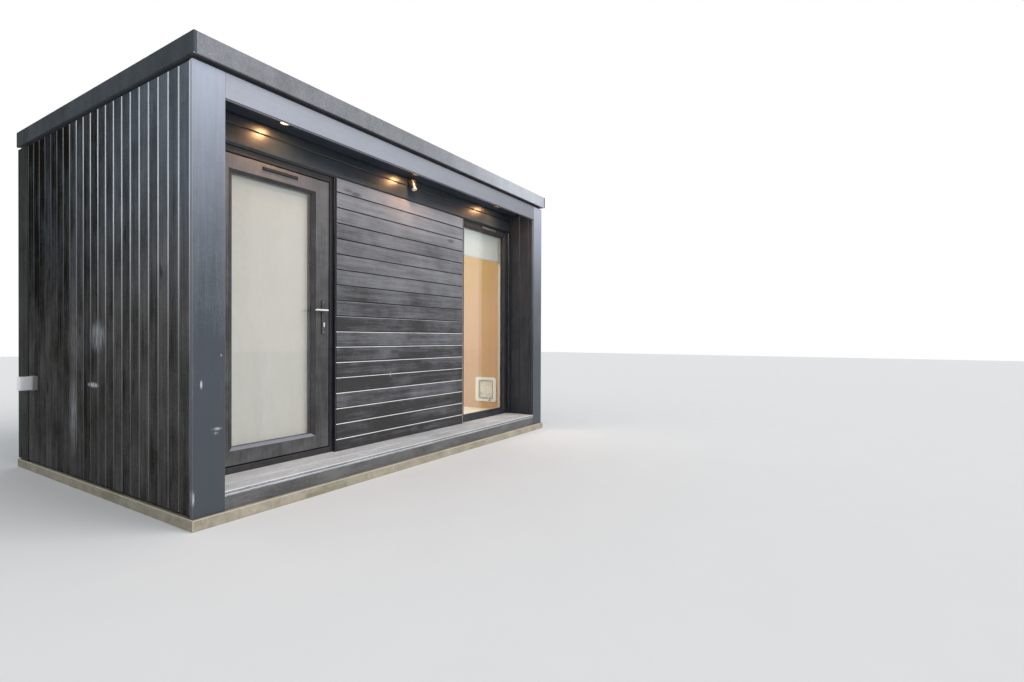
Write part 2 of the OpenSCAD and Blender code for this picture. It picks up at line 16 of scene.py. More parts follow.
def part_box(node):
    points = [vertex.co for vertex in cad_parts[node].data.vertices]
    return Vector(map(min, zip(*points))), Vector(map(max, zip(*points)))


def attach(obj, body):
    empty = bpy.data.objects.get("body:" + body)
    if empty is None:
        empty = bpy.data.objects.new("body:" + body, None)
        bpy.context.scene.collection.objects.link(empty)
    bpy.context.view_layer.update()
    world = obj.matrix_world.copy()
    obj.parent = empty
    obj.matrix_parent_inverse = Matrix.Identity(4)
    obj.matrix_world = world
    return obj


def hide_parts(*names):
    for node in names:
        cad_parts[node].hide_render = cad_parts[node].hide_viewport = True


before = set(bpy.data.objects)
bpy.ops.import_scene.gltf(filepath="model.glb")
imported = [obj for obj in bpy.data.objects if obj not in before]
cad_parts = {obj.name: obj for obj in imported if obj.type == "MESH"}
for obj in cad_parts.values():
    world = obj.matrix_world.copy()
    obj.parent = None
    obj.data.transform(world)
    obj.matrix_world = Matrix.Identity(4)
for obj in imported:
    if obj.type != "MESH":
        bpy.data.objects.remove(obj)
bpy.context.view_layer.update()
MM = 0.001
LOG = logging.getLogger("pod")
Colour = tuple[float, float, float]
Outline = Sequence[tuple[float, float]]
Box = tuple[Vector, Vector]
QUARTER = math.pi / 2.0
SHARP_FROM = 0.6
SMOOTH_BELOW = math.radians(35.0)
# Painted shade on eased edges that look down or away, and the colour of a wall core beyond its lining.
SHADED_EDGE_AND_CORE_BLACK = (0.012, 0.012, 0.013)
DUST_GREY = (0.48, 0.49, 0.52)
ROOM_SIDE_PALE = (0.62, 0.60, 0.56)


class Axis(Enum):
    """The direction in which a board's grain runs."""

    X = 0
    Y = 1
    Z = 2


class Body(Enum):
    """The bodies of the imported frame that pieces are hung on."""

    BUILDING = "building"
    DOOR = "door"
    FLAP = "pet_flap"


def corner(node: str) -> Box:
    """The lowest and highest corner of a CAD node.

    Args:
        node: The node's name.

    Returns:
        Two corners in metres.
    """
    low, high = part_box(node)
    return low.copy(), high.copy()


@dataclass(frozen=True)
class Plan:
    """Places of the building, read from the frame."""

    left: float
    front: float
    ground: float

    @classmethod
    def read(cls) -> "Plan":
        """Reads the building's faces from the CAD nodes.

        Returns:
            The plan.
        """
        posts = corner("post_boards")
        return cls(posts[0].x, posts[0].y, corner("base_slab")[1].z)

    def at(self, x: float, y: float, z: float) -> Vector:
        """A point given in millimetres from the left face, the front face and the base's top.

        Args:
            x: Distance from the left face.
            y: Distance from the front face.
            z: Height above the base.

        Returns:
            The point in metres.
        """
        return Vector((self.left + x * MM, self.front + y * MM, self.ground + z * MM))


def times(colour: Colour, factor: float) -> Colour:
    """A colour made brighter or darker, with no part over 1."""
    return tuple(min(1.0, part * factor) for part in colour)


class Wire:
    """A value that travels through a node tree, so that sums of sockets read as sums."""

    def __init__(self, tree: bpy.types.NodeTree, socket: bpy.types.NodeSocket) -> None:
        """Holds a socket and the tree it is in."""
        self.tree = tree
        self.socket = socket

    def _math(self, operation: str, first: "Wire | float", second: "Wire | float",
              clamp: bool = False) -> "Wire":
        """Adds a Math node.

        Args:
            operation: The node's operation.
            first: Its first value.
            second: Its second value.
            clamp: Whether the result is held between 0 and 1.

        Returns:
            The result.
        """
        node = self.tree.nodes.new("ShaderNodeMath")
        node.operation = operation
        node.use_clamp = clamp
        for socket, value in zip(node.inputs, (first, second)):
            if isinstance(value, Wire):
                self.tree.links.new(value.socket, socket)
            else:
                socket.default_value = value
        return Wire(self.tree, node.outputs[0])

    def __add__(self, other: "Wire | float") -> "Wire":
        """Sum."""
        return self._math("ADD", self, other)

    __radd__ = __add__

    def __sub__(self, other: "Wire | float") -> "Wire":
        """Difference."""
        return self._math("SUBTRACT", self, other)

    def __rsub__(self, other: "Wire | float") -> "Wire":
        """Difference from a number."""
        return self._math("SUBTRACT", other, self)

    def __mul__(self, other: "Wire | float") -> "Wire":
        """Product."""
        return self._math("MULTIPLY", self, other)

    __rmul__ = __mul__

    def __pow__(self, other: float) -> "Wire":
        """Power."""
        return self._math("POWER", self, other)

    def swing(self, size: float) -> "Wire":
        """How far the value is from one half, times a size."""
        return (self - 0.5) * size

    def above(self, level: float) -> "Wire":
        """One where the value passes the level, and zero elsewhere."""
        return self._math("GREATER_THAN", self, level)

    def held(self) -> "Wire":
        """The value held between 0 and 1."""
        return self._math("ADD", self, 0.0, clamp=True)

    def larger(self, other: "Wire | float") -> "Wire":
        """The larger of two values."""
        return self._math("MAXIMUM", self, other)

    def smooth(self, low: float, high: float) -> "Wire":
        """Rises smoothly from 0 at low to 1 at high.

        Args:
            low: Where the rise starts.
            high: Where it ends.

        Returns:
            The result.
        """
        node = self.tree.nodes.new("ShaderNodeMapRange")
        node.interpolation_type = "SMOOTHSTEP"
        self.tree.links.new(self.socket, node.inputs["Value"])
        node.inputs["From Min"].default_value = low
        node.inputs["From Max"].default_value = high
        return Wire(self.tree, node.outputs["Result"])


class Nodes:
    """A node tree that is built up from nothing."""

    def __init__(self, tree: bpy.types.NodeTree) -> None:
        """Empties the tree and holds it."""
        self.tree = tree
        self.tree.nodes.clear()

    def node(self, kind: str, settings: dict[str, object], inputs: dict[str | int, object],
             out: str | int = 0) -> Wire:
        """Adds a node.

        Args:
            kind: The node's type.
            settings: Its attributes, set first.
            inputs: Values or wires of its sockets.
            out: The output that is returned.

        Returns:
            That output.
        """
        node = self.tree.nodes.new(kind)
        for key, value in settings.items():
            setattr(node, key, value)
        for key, value in inputs.items():
            if isinstance(value, Wire):
                self.tree.links.new(value.socket, node.inputs[key])
            else:
                node.inputs[key].default_value = value
        return Wire(self.tree, node.outputs[out])


class Palette(Nodes):
    """One material while it is being mixed."""

    def __init__(self, name: str) -> None:
        """Starts an empty material with a Principled shader.

        Args:
            name: The material's name.
        """
        self.material = bpy.data.materials.new(name)
        self.material.use_nodes = True
        super().__init__(self.material.node_tree)
        self.output = self.tree.nodes.new("ShaderNodeOutputMaterial")
        self.shader = self.tree.nodes.new("ShaderNodeBsdfPrincipled")
        self.tree.links.new(self.shader.outputs[0], self.output.inputs["Surface"])

    def place(self) -> Wire:
        """The point on the object, in metres."""
        return self.node("ShaderNodeTexCoord", {}, {}, "Object")

    def part(self, vector: Wire, axis: Axis) -> Wire:
        """One part of a vector.

        Args:
            vector: The vector.
            axis: Which part.

        Returns:
            The part.
        """
        return self.node("ShaderNodeSeparateXYZ", {}, {0: vector}, axis.value)

    def scaled(self, vector: Wire, scale: Sequence[float], shift: Wire | None = None) -> Wire:
        """A vector scaled along each axis and moved by a number.

        Args:
            vector: The vector.
            scale: One factor for each axis.
            shift: A number added to all three parts.

        Returns:
            The new vector.
        """
        grown = self.node("ShaderNodeVectorMath", {"operation": "MULTIPLY"}, {0: vector, 1: tuple(scale)})
        if shift is None:
            return grown
        return self.node("ShaderNodeVectorMath", {"operation": "ADD"}, {0: grown, 1: shift})

    def noise(self, vector: Wire, scale: float, detail: float = 4.0, rough: float = 0.55) -> Wire:
        """Soft noise from 0 to 1.

        Args:
            vector: Where it is read.
            scale: Cells to the metre.
            detail: Octaves.
            rough: Strength of the finer octaves.

        Returns:
            The noise.
        """
        inputs = {"Vector": vector, "Scale": scale, "Detail": detail, "Roughness": rough}
        return self.node("ShaderNodeTexNoise", {}, inputs, "Fac")

    def drawn(self, vector: Wire, scale: Sequence[float], detail: float, rough: float,
              shift: Wire | None = None) -> Wire:
        """Soft noise from 0 to 1, drawn out along the axes.

        Args:
            vector: Where it is read.
            scale: Cells to the metre along each axis.
            detail: Octaves.
            rough: Strength of the finer octaves.
            shift: A number that moves the pattern.

        Returns:
            The noise.
        """
        return self.noise(self.scaled(vector, scale, shift), 1.0, detail, rough)

    def cells(self, vector: Wire, scale: float) -> Wire:
        """Distance to the nearest of scattered points."""
        return self.node("ShaderNodeTexVoronoi", {}, {"Vector": vector, "Scale": scale}, "Distance")

    def mark(self, name: str) -> Wire:
        """A number that the mesh carries under that name."""
        return self.node("ShaderNodeAttribute", {"attribute_name": name}, {}, "Fac")

    def blend(self, share: Wire | float, first: object, second: object) -> Wire:
        """A colour between two colours.

        Args:
            share: 0 for the first, 1 for the second.
            first: A colour or a wire.
            second: A colour or a wire.

        Returns:
            The colour.
        """
        settings = {"data_type": "RGBA", "clamp_factor": True}
        inputs = {0: share, 6: self.full(first), 7: self.full(second)}
        return self.node("ShaderNodeMix", settings, inputs, 2)

    @staticmethod
    def full(value: object) -> object:
        """The value itself where it is a wire, and otherwise a colour with its fourth part."""
        return value if isinstance(value, Wire) else (*value, 1.0)

    def spot(self, centre: Vector, reach: Sequence[float], vector: Wire) -> Wire:
        """One at a place on the object, fading to zero at a distance.

        Args:
            centre: The middle of the spot.
            reach: How far it goes along each axis.
            vector: The point on the object.

        Returns:
            The mask.
        """
        moved = self.node("ShaderNodeVectorMath", {"operation": "SUBTRACT"}, {0: vector, 1: tuple(centre)})
        grown = self.scaled(moved, [1.0 / r for r in reach])
        length = self.node("ShaderNodeVectorMath", {"operation": "LENGTH"}, {0: grown}, "Value")
        return 1.0 - length.smooth(0.15, 1.0)

    def relief(self, height: Wire, depth: float, strength: float = 1.0) -> None:
        """Raises the surface by a height.

        Args:
            height: The height, 0 to 1.
            depth: Its size in metres.
            strength: How much of it shows.
        """
        bump = self.node("ShaderNodeBump", {}, {"Strength": strength, "Distance": depth, "Height": height})
        self.tree.links.new(bump.socket, self.shader.inputs["Normal"])

    def cover(self, share: Wire | float, first: Wire | None = None,
              second: Wire | None = None) -> bpy.types.Material:
        """Mixes the Principled shader, in the place left empty, with another one.

        Args:
            share: 0 for the first, 1 for the second.
            first: The other shader, where it is the first.
            second: The other shader, where it is the second.

        Returns:
            The material.
        """
        shell = Wire(self.tree, self.shader.outputs[0])
        whole = self.node("ShaderNodeMixShader", {}, {0: share, 1: first or shell, 2: second or shell})
        self.tree.links.new(whole.socket, self.output.inputs["Surface"])
        return self.material

    def close(self, values: dict[str, object]) -> bpy.types.Material:
        """Sets the shader's sockets.

        Args:
            values: Values or wires by socket name.

        Returns:
            The material.
        """
        for key, value in values.items():
            if isinstance(value, Wire):
                self.tree.links.new(value.socket, self.shader.inputs[key])
            elif isinstance(value, tuple):
                self.shader.inputs[key].default_value = (*value, 1.0)
            else:
                self.shader.inputs[key].default_value = value
        return self.material


@dataclass(frozen=True)
class Scuff:
    """A pale worn or dusty place on a board."""

    centre: Vector
    reach: tuple[float, float, float]
    strength: float


@dataclass(frozen=True)
class StainedTimber:
    """Black satin stain on softwood boards.

    The tone goes from deep to the lit colour with the lift, which paints light and shade: one factor each for
    x, y and the cube of z, and a constant. The slope adds a factor for y times z, and the crown a rise from
    one height to another; both are painted light too. The foot takes the lit colour's place near the ground,
    and the turn from it to the lit colour higher up is a painted sky tint. Eased edges marked bright take a
    painted highlight in the edge colour, with a constant, a factor for the cube of z and a loss to the back,
    and the fade is a loss of theirs from one height to another; those marked dark take painted shade. The
    mottle is the strength of the grain and the clouds, and the grit that of fine dust.
    """

    name: str
    grain: Axis
    deep: Colour
    faded_and_lit: Colour
    lift: tuple[float, float, float, float]
    edge: Colour = (0.75, 0.77, 0.80)
    edge_lift: tuple[float, float, float] = (0.5, 0.0, 0.0)
    rough: float = 0.42
    gloss: float = 0.3
    knots: float = 1.0
    scuffs: tuple[Scuff, ...] = ()
    foot: Colour | None = None
    slope: float = 0.0
    fade: tuple[float, float, float] | None = None
    crown: tuple[float, float, float] | None = None
    mottle: float = 1.0
    grit: float = 0.25

    def mix(self) -> bpy.types.Material:
        """Mixes the material.

        Returns:
            The material.
        """
        p = Palette(self.name)
        point = p.place()
        tone = p.mark("tone")
        along = [38.0, 38.0, 38.0]
        along[self.grain.value] = 1.6
        streak = p.drawn(point, along, 6.0, 0.62, tone * 31.0)
        fine = p.drawn(point, [a * 5.0 for a in along], 3.0, 0.6, tone * 17.0)
        cloud = p.noise(p.scaled(point, [1.0, 1.0, 1.0], tone * 3.0), 3.1, 4.0, 0.6)
        knot_scale = [6.5, 6.5, 6.5]
        knot_scale[self.grain.value] = 2.2
        knot = 1.0 - p.cells(p.scaled(point, knot_scale, tone * 11.0), 1.0).smooth(0.05, 0.16)
        # Painted light and shade: the lift, slope and crown make the tone paler or darker by place and
        # height.
        cx, cy, rise, base = self.lift
        parts = [p.part(point, a) for a in Axis]
        cube = parts[2] ** 3.0
        lift = parts[0] * cx + parts[1] * cy + cube * rise + base
        if self.slope:
            lift = lift + parts[1] * parts[2] * self.slope
        if self.crown:
            lift = lift + parts[2].smooth(*self.crown[:2]) * self.crown[2]
        grain = streak.swing(0.55) + fine.swing(0.35) + cloud.swing(0.6) + tone.swing(0.25)
        dusty = p.noise(point, 85.0, 3.0, 0.75).swing(self.grit)
        share = (lift + grain * self.mottle + dusty).held()
        # Painted sky tint: the lit colour turns from the foot colour near the ground to the lit colour higher
        # up.
        faded_and_lit = p.blend(parts[2].smooth(0.9, 2.1), self.foot, self.faded_and_lit) if self.foot else self.faded_and_lit
        colour = p.blend(share, self.deep, faded_and_lit)
        colour = p.blend(knot * (0.55 * self.knots), colour, times(self.deep, 0.6))
        speck = p.noise(point, 130.0, 2.0, 0.5).smooth(0.70, 0.76) * cloud.smooth(0.4, 0.6)
        dust = speck * 0.45
        for scuff in self.scuffs:
            ragged = p.drawn(point, [60.0, 60.0, 9.0], 4.0, 0.6).smooth(0.3, 0.75)
            dust = dust.larger(p.spot(scuff.centre, scuff.reach, point) * ragged * scuff.strength)
        colour = p.blend(dust, colour, DUST_GREY)
        # Painted highlight on eased edges marked bright, weaker to the back and, by the fade, with height;
        # painted shade on edges marked dark.
        edge = p.mark("edge")
        near = 1.0 - parts[1].smooth(-0.5, 0.6) * self.edge_lift[2]
        bright = edge.smooth(0.4, 0.9) * (cube * self.edge_lift[1] + self.edge_lift[0]) * near
        if self.fade:
            bright = bright * (1.0 - parts[2].smooth(*self.fade[:2]) * self.fade[2])
        colour = p.blend((bright * (0.6 + 0.8 * cloud)).held(), colour, self.edge)
        colour = p.blend((0.0 - edge).smooth(0.4, 0.9), colour, SHADED_EDGE_AND_CORE_BLACK)
        p.relief(streak * 0.55 + fine * 0.45 - knot * 0.2, 0.0011, 0.55)
        rough = (self.rough + cloud.swing(0.22) + streak.swing(0.16) + dust * 0.3).held()
        return p.close({"Base Color": colour, "Roughness": rough, "Specular IOR Level": self.gloss})


@dataclass(frozen=True)
class SpeckledSheet:
    """Grey coated sheet with grit and dust, as on the roof trim.

    The lap is the x left of which a folded edge is bright, and the end is where x paints light on the sheet,
    which grows paler to the right.
    """

    name: str
    base: Colour
    pale: Colour
    rough: float = 0.6
    grain: float = 130.0
    depth: float = 0.0006
    gloss: float = 0.3
    lap: float | None = None
    end: tuple[float, float] | None = None

    def mix(self) -> bpy.types.Material:
        """Mixes the material.

        Returns:
            The material.
        """
        p = Palette(self.name)
        point = p.place()
        grit = p.noise(point, self.grain, 3.0, 0.7)
        cloud = p.noise(point, 5.0, 5.0, 0.62)
        run = p.drawn(point, [9.0, 9.0, 1.2], 4.0, 0.6)
        pit = p.cells(point, 34.0).smooth(0.02, 0.07)
        share = (grit.swing(1.2) + cloud.swing(0.8) + run.swing(0.5) + 0.5).held()
        colour = p.blend(share, self.base, self.pale)
        # Painted light: towards the end the sheet turns to a paler copy of its colours.
        if self.end is not None:
            bright = p.blend(share, times(self.base, 2.7), times(self.pale, 1.95))
            colour = p.blend(p.part(point, Axis.X).smooth(*self.end), colour, bright)
        if self.lap is not None:
            folded = (self.lap - p.part(point, Axis.X)).above(0.0)
            colour = p.blend(folded * 0.7, colour, times(self.pale, 1.7))
        colour = p.blend((1.0 - pit) * cloud.smooth(0.5, 0.62) * 0.7, colour, times(self.base, 0.35))
        p.relief(grit, self.depth, 0.6)
        rough = (self.rough + cloud.swing(0.25)).held()
        return p.close({"Base Color": colour, "Roughness": rough, "Specular IOR Level": self.gloss})


@dataclass(frozen=True)
class Weathered:
    """A mineral or composite surface with blotches, pores and stains.

    The front is painted shade, a loss on faces that look to the front. Along holds painted light: a rise to
    the middle, a fall to the right and a constant. Eased edges marked bright are paler, a painted highlight.
    """

    name: str
    base: Colour
    pale: Colour
    stain: Colour
    stained: float = 0.5
    stretch: tuple[float, float, float] = (1.0, 1.0, 1.0)
    grain: float = 60.0
    rough: float = 0.75
    depth: float = 0.0015
    blotchy: float = 1.3
    front: float = 0.0
    along: tuple[float, float, float] | None = None

    def mix(self) -> bpy.types.Material:
        """Mixes the material.

        Returns:
            The material.
        """
        p = Palette(self.name)
        point = p.place()
        drawn = p.scaled(point, self.stretch)
        blotch = p.noise(drawn, 7.0, 6.0, 0.66)
        grit = p.noise(drawn, self.grain, 4.0, 0.7)
        damp = p.drawn(point, [2.4, 2.4, 6.0], 5.0, 0.6)
        share = (0.5 + blotch.swing(self.blotchy) + grit.swing(0.9)).held()
        # Painted light: paler or darker across x.
        if self.along:
            across = p.part(point, Axis.X)
            gain = across.smooth(-1.7, -0.1) * self.along[0] - across.smooth(0.2, 1.5) * self.along[1]
            share = (share + gain + self.along[2]).held()
        # Painted shade on faces that look to the front.
        if self.front:
            normal = p.node("ShaderNodeNewGeometry", {}, {}, "Normal")
            share = (share - (0.0 - p.part(normal, Axis.Y)).smooth(0.5, 0.9) * self.front).held()
        colour = p.blend(share, self.base, self.pale)
        colour = p.blend(damp.smooth(0.5, 0.68) * self.stained, colour, self.stain)
        # Painted highlight: eased edges marked bright turn paler.
        worn = p.mark("edge").smooth(0.4, 0.9)
        colour = p.blend(worn * 0.6, colour, times(self.pale, 1.35))
        p.relief(grit * 0.6 + blotch * 0.4, self.depth, 0.7)
        rough = (self.rough + blotch.swing(0.3)).held()
        return p.close({"Base Color": colour, "Roughness": rough, "Specular IOR Level": 0.3})


@dataclass(frozen=True)
class Moulded:
    """Plastic, foil or coated metal with dust, fine scratches and a soft sheen.

    The dust colour grows with the cube of the height by the rise and with its sixth power by the top, partly
    dust and partly painted light; on faces that look up by the ledge, as painted light from the sky; near the
    ground by below, as painted light thrown up from the ground; and in upright streaks where the surface is
    brushed. All takes the dust colour under the height of under, a painted reflection that darkens the lower
    half of a bright part, and all is pale behind the y of inside. Clear is how much light it lets through.
    """

    name: str
    base: Colour
    dust: Colour
    dusty: float = 0.35
    rough: float = 0.35
    metal: float = 0.0
    gloss: float = 0.5
    rise: float = 0.0
    top: float = 0.0
    ledge: float = 0.0
    brushed: float = 0.0
    below: float = 0.0
    under: float | None = None
    inside: float | None = None
    clear: float = 0.0

    def mix(self) -> bpy.types.Material:
        """Mixes the material.

        Returns:
            The material.
        """
        p = Palette(self.name)
        point = p.place()
        film = p.noise(point, 9.0, 5.0, 0.62)
        fleck = p.noise(point, 420.0, 2.0, 0.5).smooth(0.66, 0.74)
        scratch = p.drawn(point, [14.0, 14.0, 260.0], 3.0, 0.6)
        share = film.smooth(0.3, 0.8) * self.dusty + fleck * self.dusty * 0.8
        if self.brushed:
            upright = p.drawn(point, [75.0, 75.0, 4.0], 4.0, 0.6)
            share = share + upright.swing(self.brushed)
        # Paler with height: partly dust, partly painted light.
        if self.rise:
            cube = p.part(point, Axis.Z) ** 3.0
            share = share + cube * self.rise + cube * cube * self.top
        # Painted light from the sky on faces that look up.
        if self.ledge:
            normal = p.node("ShaderNodeNewGeometry", {}, {}, "Normal")
            share = share + p.part(normal, Axis.Z).smooth(0.2, 0.6) * self.ledge
        # Painted light thrown up from the ground.
        if self.below:
            share = share + (1.0 - p.part(point, Axis.Z).smooth(0.18, 0.55)) * self.below
        # Painted reflection: under this height the part takes the second colour.
        if self.under is not None:
            share = share + (self.under - p.part(point, Axis.Z)).above(0.0)
        share = share.held()
        colour = p.blend(share, self.base, self.dust)
        if self.inside is not None:
            colour = p.blend((p.part(point, Axis.Y) - self.inside).above(0.0), colour, ROOM_SIDE_PALE)
        p.relief(scratch * 0.5 + film * 0.5, 0.0002, 0.35)
        rough = (self.rough + film.swing(0.2) + scratch.swing(0.12) + share * 0.2).held()
        return p.close({
            "Base Color": colour, "Roughness": rough, "Metallic": self.metal,
            "Specular IOR Level": self.gloss, "Transmission Weight": self.clear,
        })


@dataclass(frozen=True)
class ClearGlass:
    """Window glass: mostly clear, with a reflection that grows at a slant and a film of dust."""

    name: str
    film: float = 0.05
    base: float = 0.035

    def mix(self) -> bpy.types.Material:
        """Mixes the material.

        Returns:
            The material.
        """
        p = Palette(self.name)
        point = p.place()
        streak = p.drawn(point, [7.0, 7.0, 1.3], 5.0, 0.65)
        p.close({"Base Color": (0.86, 0.87, 0.88), "Roughness": 0.5})
        clear = p.node("ShaderNodeBsdfTransparent", {}, {"Color": (0.992, 0.996, 0.992, 1.0)})
        mirror = p.node("ShaderNodeBsdfGlossy", {}, {"Color": (1.0, 1.0, 1.0, 1.0), "Roughness": 0.02})
        slant = p.node("ShaderNodeLayerWeight", {}, {"Blend": 0.5}, "Facing") ** 5.0
        share = slant * (1.0 - self.base) + self.base
        pane = p.node("ShaderNodeMixShader", {}, {0: share, 1: clear, 2: mirror})
        dirt = (streak.smooth(0.4, 0.85) * self.film).held()
        return p.cover(dirt, first=pane)


@dataclass(frozen=True)
class WovenBlind:
    """Plain woven blind cloth that lets some light through."""

    name: str
    base: Colour
    pale: Colour
    pitch: float = 700.0
    through: float = 0.35

    def mix(self) -> bpy.types.Material:
        """Mixes the material.

        Returns:
            The material.
        """
        p = Palette(self.name)
        point = p.place()
        weave_x = p.drawn(point, [self.pitch, 30.0, 40.0], 1.0, 0.5)
        weave_z = p.drawn(point, [40.0, 30.0, self.pitch], 1.0, 0.5)
        fold = p.drawn(point, [3.0, 1.0, 0.8], 3.0, 0.5)
        share = (0.5 + weave_x.swing(0.7) + weave_z.swing(0.7) + fold.swing(0.5)).held()
        colour = p.blend(share, self.base, self.pale)
        p.relief(weave_x * 0.5 + weave_z * 0.5, 0.0003, 0.4)
        rough = (0.85 + fold.swing(0.1)).held()
        p.close({"Base Color": colour, "Roughness": rough})
        middle = tuple((a + b) / 2.0 for a, b in zip(self.base, self.pale))
        through = p.node("ShaderNodeBsdfTranslucent", {}, {"Color": (*middle, 1.0)})
        return p.cover(self.through, second=through)


@dataclass(frozen=True)
class Lining:
    """Smooth interior board.

    It is black beyond the outside face, and darker under the ceiling by the fall, which is painted shade.
    """

    name: str
    base: Colour
    pale: Colour
    grain: Axis = Axis.Z
    outside: tuple[Axis, float, float] | None = None
    fall: float = 0.0

    def mix(self) -> bpy.types.Material:
        """Mixes the material.

        Returns:
            The material.
        """
        p = Palette(self.name)
        point = p.place()
        along = [22.0, 22.0, 22.0]
        along[self.grain.value] = 1.1
        figure = p.drawn(point, along, 5.0, 0.6)
        cloud = p.noise(point, 1.8, 3.0, 0.5)
        share = (0.5 + figure.swing(0.7) + cloud.swing(0.5)).held()
        colour = p.blend(share, self.base, self.pale)
        # Painted shade: the lining turns darker and browner under the ceiling.
        if self.fall:
            top = p.part(point, Axis.Z).smooth(1.1, 2.3) * self.fall
            colour = p.blend(top, colour, (self.base[0] * 0.75, self.base[1] * 0.80, self.base[2] * 0.35))
        if self.outside:
            axis, face, sign = self.outside
            colour = p.blend(((p.part(point, axis) - face) * sign).above(0.0), colour, SHADED_EDGE_AND_CORE_BLACK)
        p.relief(figure, 0.0004, 0.3)
        rough = (0.5 + cloud.swing(0.2)).held()
        return p.close({"Base Color": colour, "Roughness": rough, "Specular IOR Level": 0.3})


@dataclass(frozen=True)
class LampGlow:
    """A frosted lens lit from inside, dimmer where x is beyond a limit."""

    name: str
    colour: Colour
    strength: float
    limit: float
    dim: Colour

    def mix(self) -> bpy.types.Material:
        """Mixes the material.

        Returns:
            The material.
        """
        p = Palette(self.name)
        frost = p.noise(p.place(), 160.0, 3.0, 0.6)
        colour = p.blend(frost * 0.4, self.colour, times(self.colour, 1.15))
        far = p.part(p.place(), Axis.X).above(self.limit)
        glow = p.blend(far, colour, self.dim)
        base = p.blend(frost, times(self.colour, 0.25), times(self.colour, 0.35))
        return p.close({
            "Base Color": base, "Roughness": 0.4, "Emission Color": glow, "Emission Strength": self.strength,
        })


@dataclass
class Joiner:
    """Builds one piece's mesh out of boards, turned parts and cut bars.

    Each face carries a tone and an edge mark: 1 on an eased edge that takes a painted highlight and -1 on one
    that takes painted shade. Edges that look down take painted shade. So do the upright ones of a level
    piece, and those that look to the back of a piece turned back.
    """

    name: str
    smooth: bool = False
    level: bool = False
    turned_back: bool = False
    bm: bmesh.types.BMesh = field(default_factory=bmesh.new)

    def __post_init__(self) -> None:
        """Gives the empty mesh its two marks."""
        self.tone = self.bm.faces.layers.float.new("tone")
        self.edge = self.bm.faces.layers.float.new("edge")

    def board(self, low: Sequence[float], high: Sequence[float], ease: float = 0.002, tone: float = 0.5,
              segments: int = 1) -> None:
        """Adds a board with eased edges.

        Args:
            low: Its lowest corner.
            high: Its highest corner.
            ease: Width of the eased edge.
            tone: The board's own shade, 0 to 1.
            segments: Steps across the eased edge.
        """
        part = bmesh.new()
        first, last = Vector(low), Vector(high)
        bmesh.ops.create_cube(part, size=1.0)
        bmesh.ops.scale(part, vec=last - first, verts=part.verts)
        bmesh.ops.translate(part, vec=(first + last) / 2.0, verts=part.verts)
        self._ease(part, ease, segments)
        self.take(part, tone)

    @staticmethod
    def _ease(part: bmesh.types.BMesh, ease: float, segments: int) -> None:
        """Eases the sharp edges of a part.

        Args:
            part: The part.
            ease: Width of the eased edge.
            segments: Steps across it.
        """
        if ease <= 0.0:
            return
        part.edges.ensure_lookup_table()
        sharp = [e for e in part.edges if len(e.link_faces) == 2 and e.calc_face_angle(0.0) > SHARP_FROM]
        bmesh.ops.bevel(
            part, geom=sharp, offset=ease, offset_type="OFFSET", segments=segments,
            profile=0.5, affect="EDGES", material=-1, clamp_overlap=True,
        )

    def take(self, part: bmesh.types.BMesh, tone: float = 0.5) -> None:
        """Adds a finished part and marks its slanted faces as edges.

        Args:
            part: The part, which is used up.
            tone: Its shade.
        """
        part.normal_update()
        mesh = bpy.data.meshes.new("part")
        part.to_mesh(mesh)
        part.free()
        start = len(self.bm.faces)
        self.bm.from_mesh(mesh)
        bpy.data.meshes.remove(mesh)
        self.bm.faces.ensure_lookup_table()
        for face in self.bm.faces[start:]:
            face[self.tone] = tone
            face.normal_update()
            slanted = max(abs(c) for c in face.normal) < 0.98
            if slanted:
                # Edges that look down or away are marked for painted shade, the others for a painted
                # highlight.
                dark = face.normal.z < -0.3 or (self.level and face.normal.z < 0.3)
                dark = dark or (self.turned_back and face.normal.y > 0.3)
                face[self.edge] = -1.0 if dark else 1.0

    def _set(self, part: bmesh.types.BMesh, place: Matrix) -> None:
        """Puts a part in its place and adds it.

        Args:
            part: The part, which is used up.
            place: Where it goes.
        """
        bmesh.ops.transform(part, matrix=place, verts=part.verts)
        bmesh.ops.recalc_face_normals(part, faces=part.faces)
        self.take(part)

    def _pull(self, part: bmesh.types.BMesh, depth: float, place: Matrix, ease: float, segments: int) -> None:
        """Pulls a flat part along Z, eases its edges and adds it.

        Args:
            part: The part, which is used up.
            depth: How far it is pulled.
            place: Where it goes.
            ease: Width of the eased edges.
            segments: Steps across them.
        """
        pulled = bmesh.ops.extrude_face_region(part, geom=part.faces[:])
        moved = [v for v in pulled["geom"] if isinstance(v, bmesh.types.BMVert)]
        bmesh.ops.translate(part, vec=(0.0, 0.0, depth), verts=moved)
        bmesh.ops.recalc_face_normals(part, faces=part.faces)
        self._ease(part, ease, segments)
        self._set(part, place)

    def prism(self, outline: Outline, depth: float, place: Matrix, ease: float = 0.0,
              segments: int = 1) -> None:
        """Adds an outline drawn in X and Y and pulled along Z.

        Args:
            outline: The outline's points.
            depth: How far it is pulled.
            place: Where it goes.
            ease: Width of the eased edges.
            segments: Steps across them.
        """
        part = bmesh.new()
        part.faces.new([part.verts.new((x, y, 0.0)) for x, y in outline])
        self._pull(part, depth, place, ease, segments)

    def turned(self, profile: Outline, place: Matrix, steps: int = 32) -> None:
        """Adds a part turned about Z from points of radius and height.

        Args:
            profile: The points, in order.
            place: Where it goes.
            steps: Steps round it.
        """
        part = bmesh.new()
        verts = [part.verts.new((r, 0.0, h)) for r, h in profile]
        edges = [part.edges.new(pair) for pair in zip(verts, verts[1:])]
        bmesh.ops.spin(
            part, geom=[*verts, *edges], cent=(0, 0, 0), axis=(0, 0, 1), dvec=(0, 0, 0),
            angle=math.tau, steps=steps, use_merge=True, use_duplicate=False,
        )
        bmesh.ops.remove_doubles(part, verts=part.verts, dist=1e-6)
        self._set(part, place)

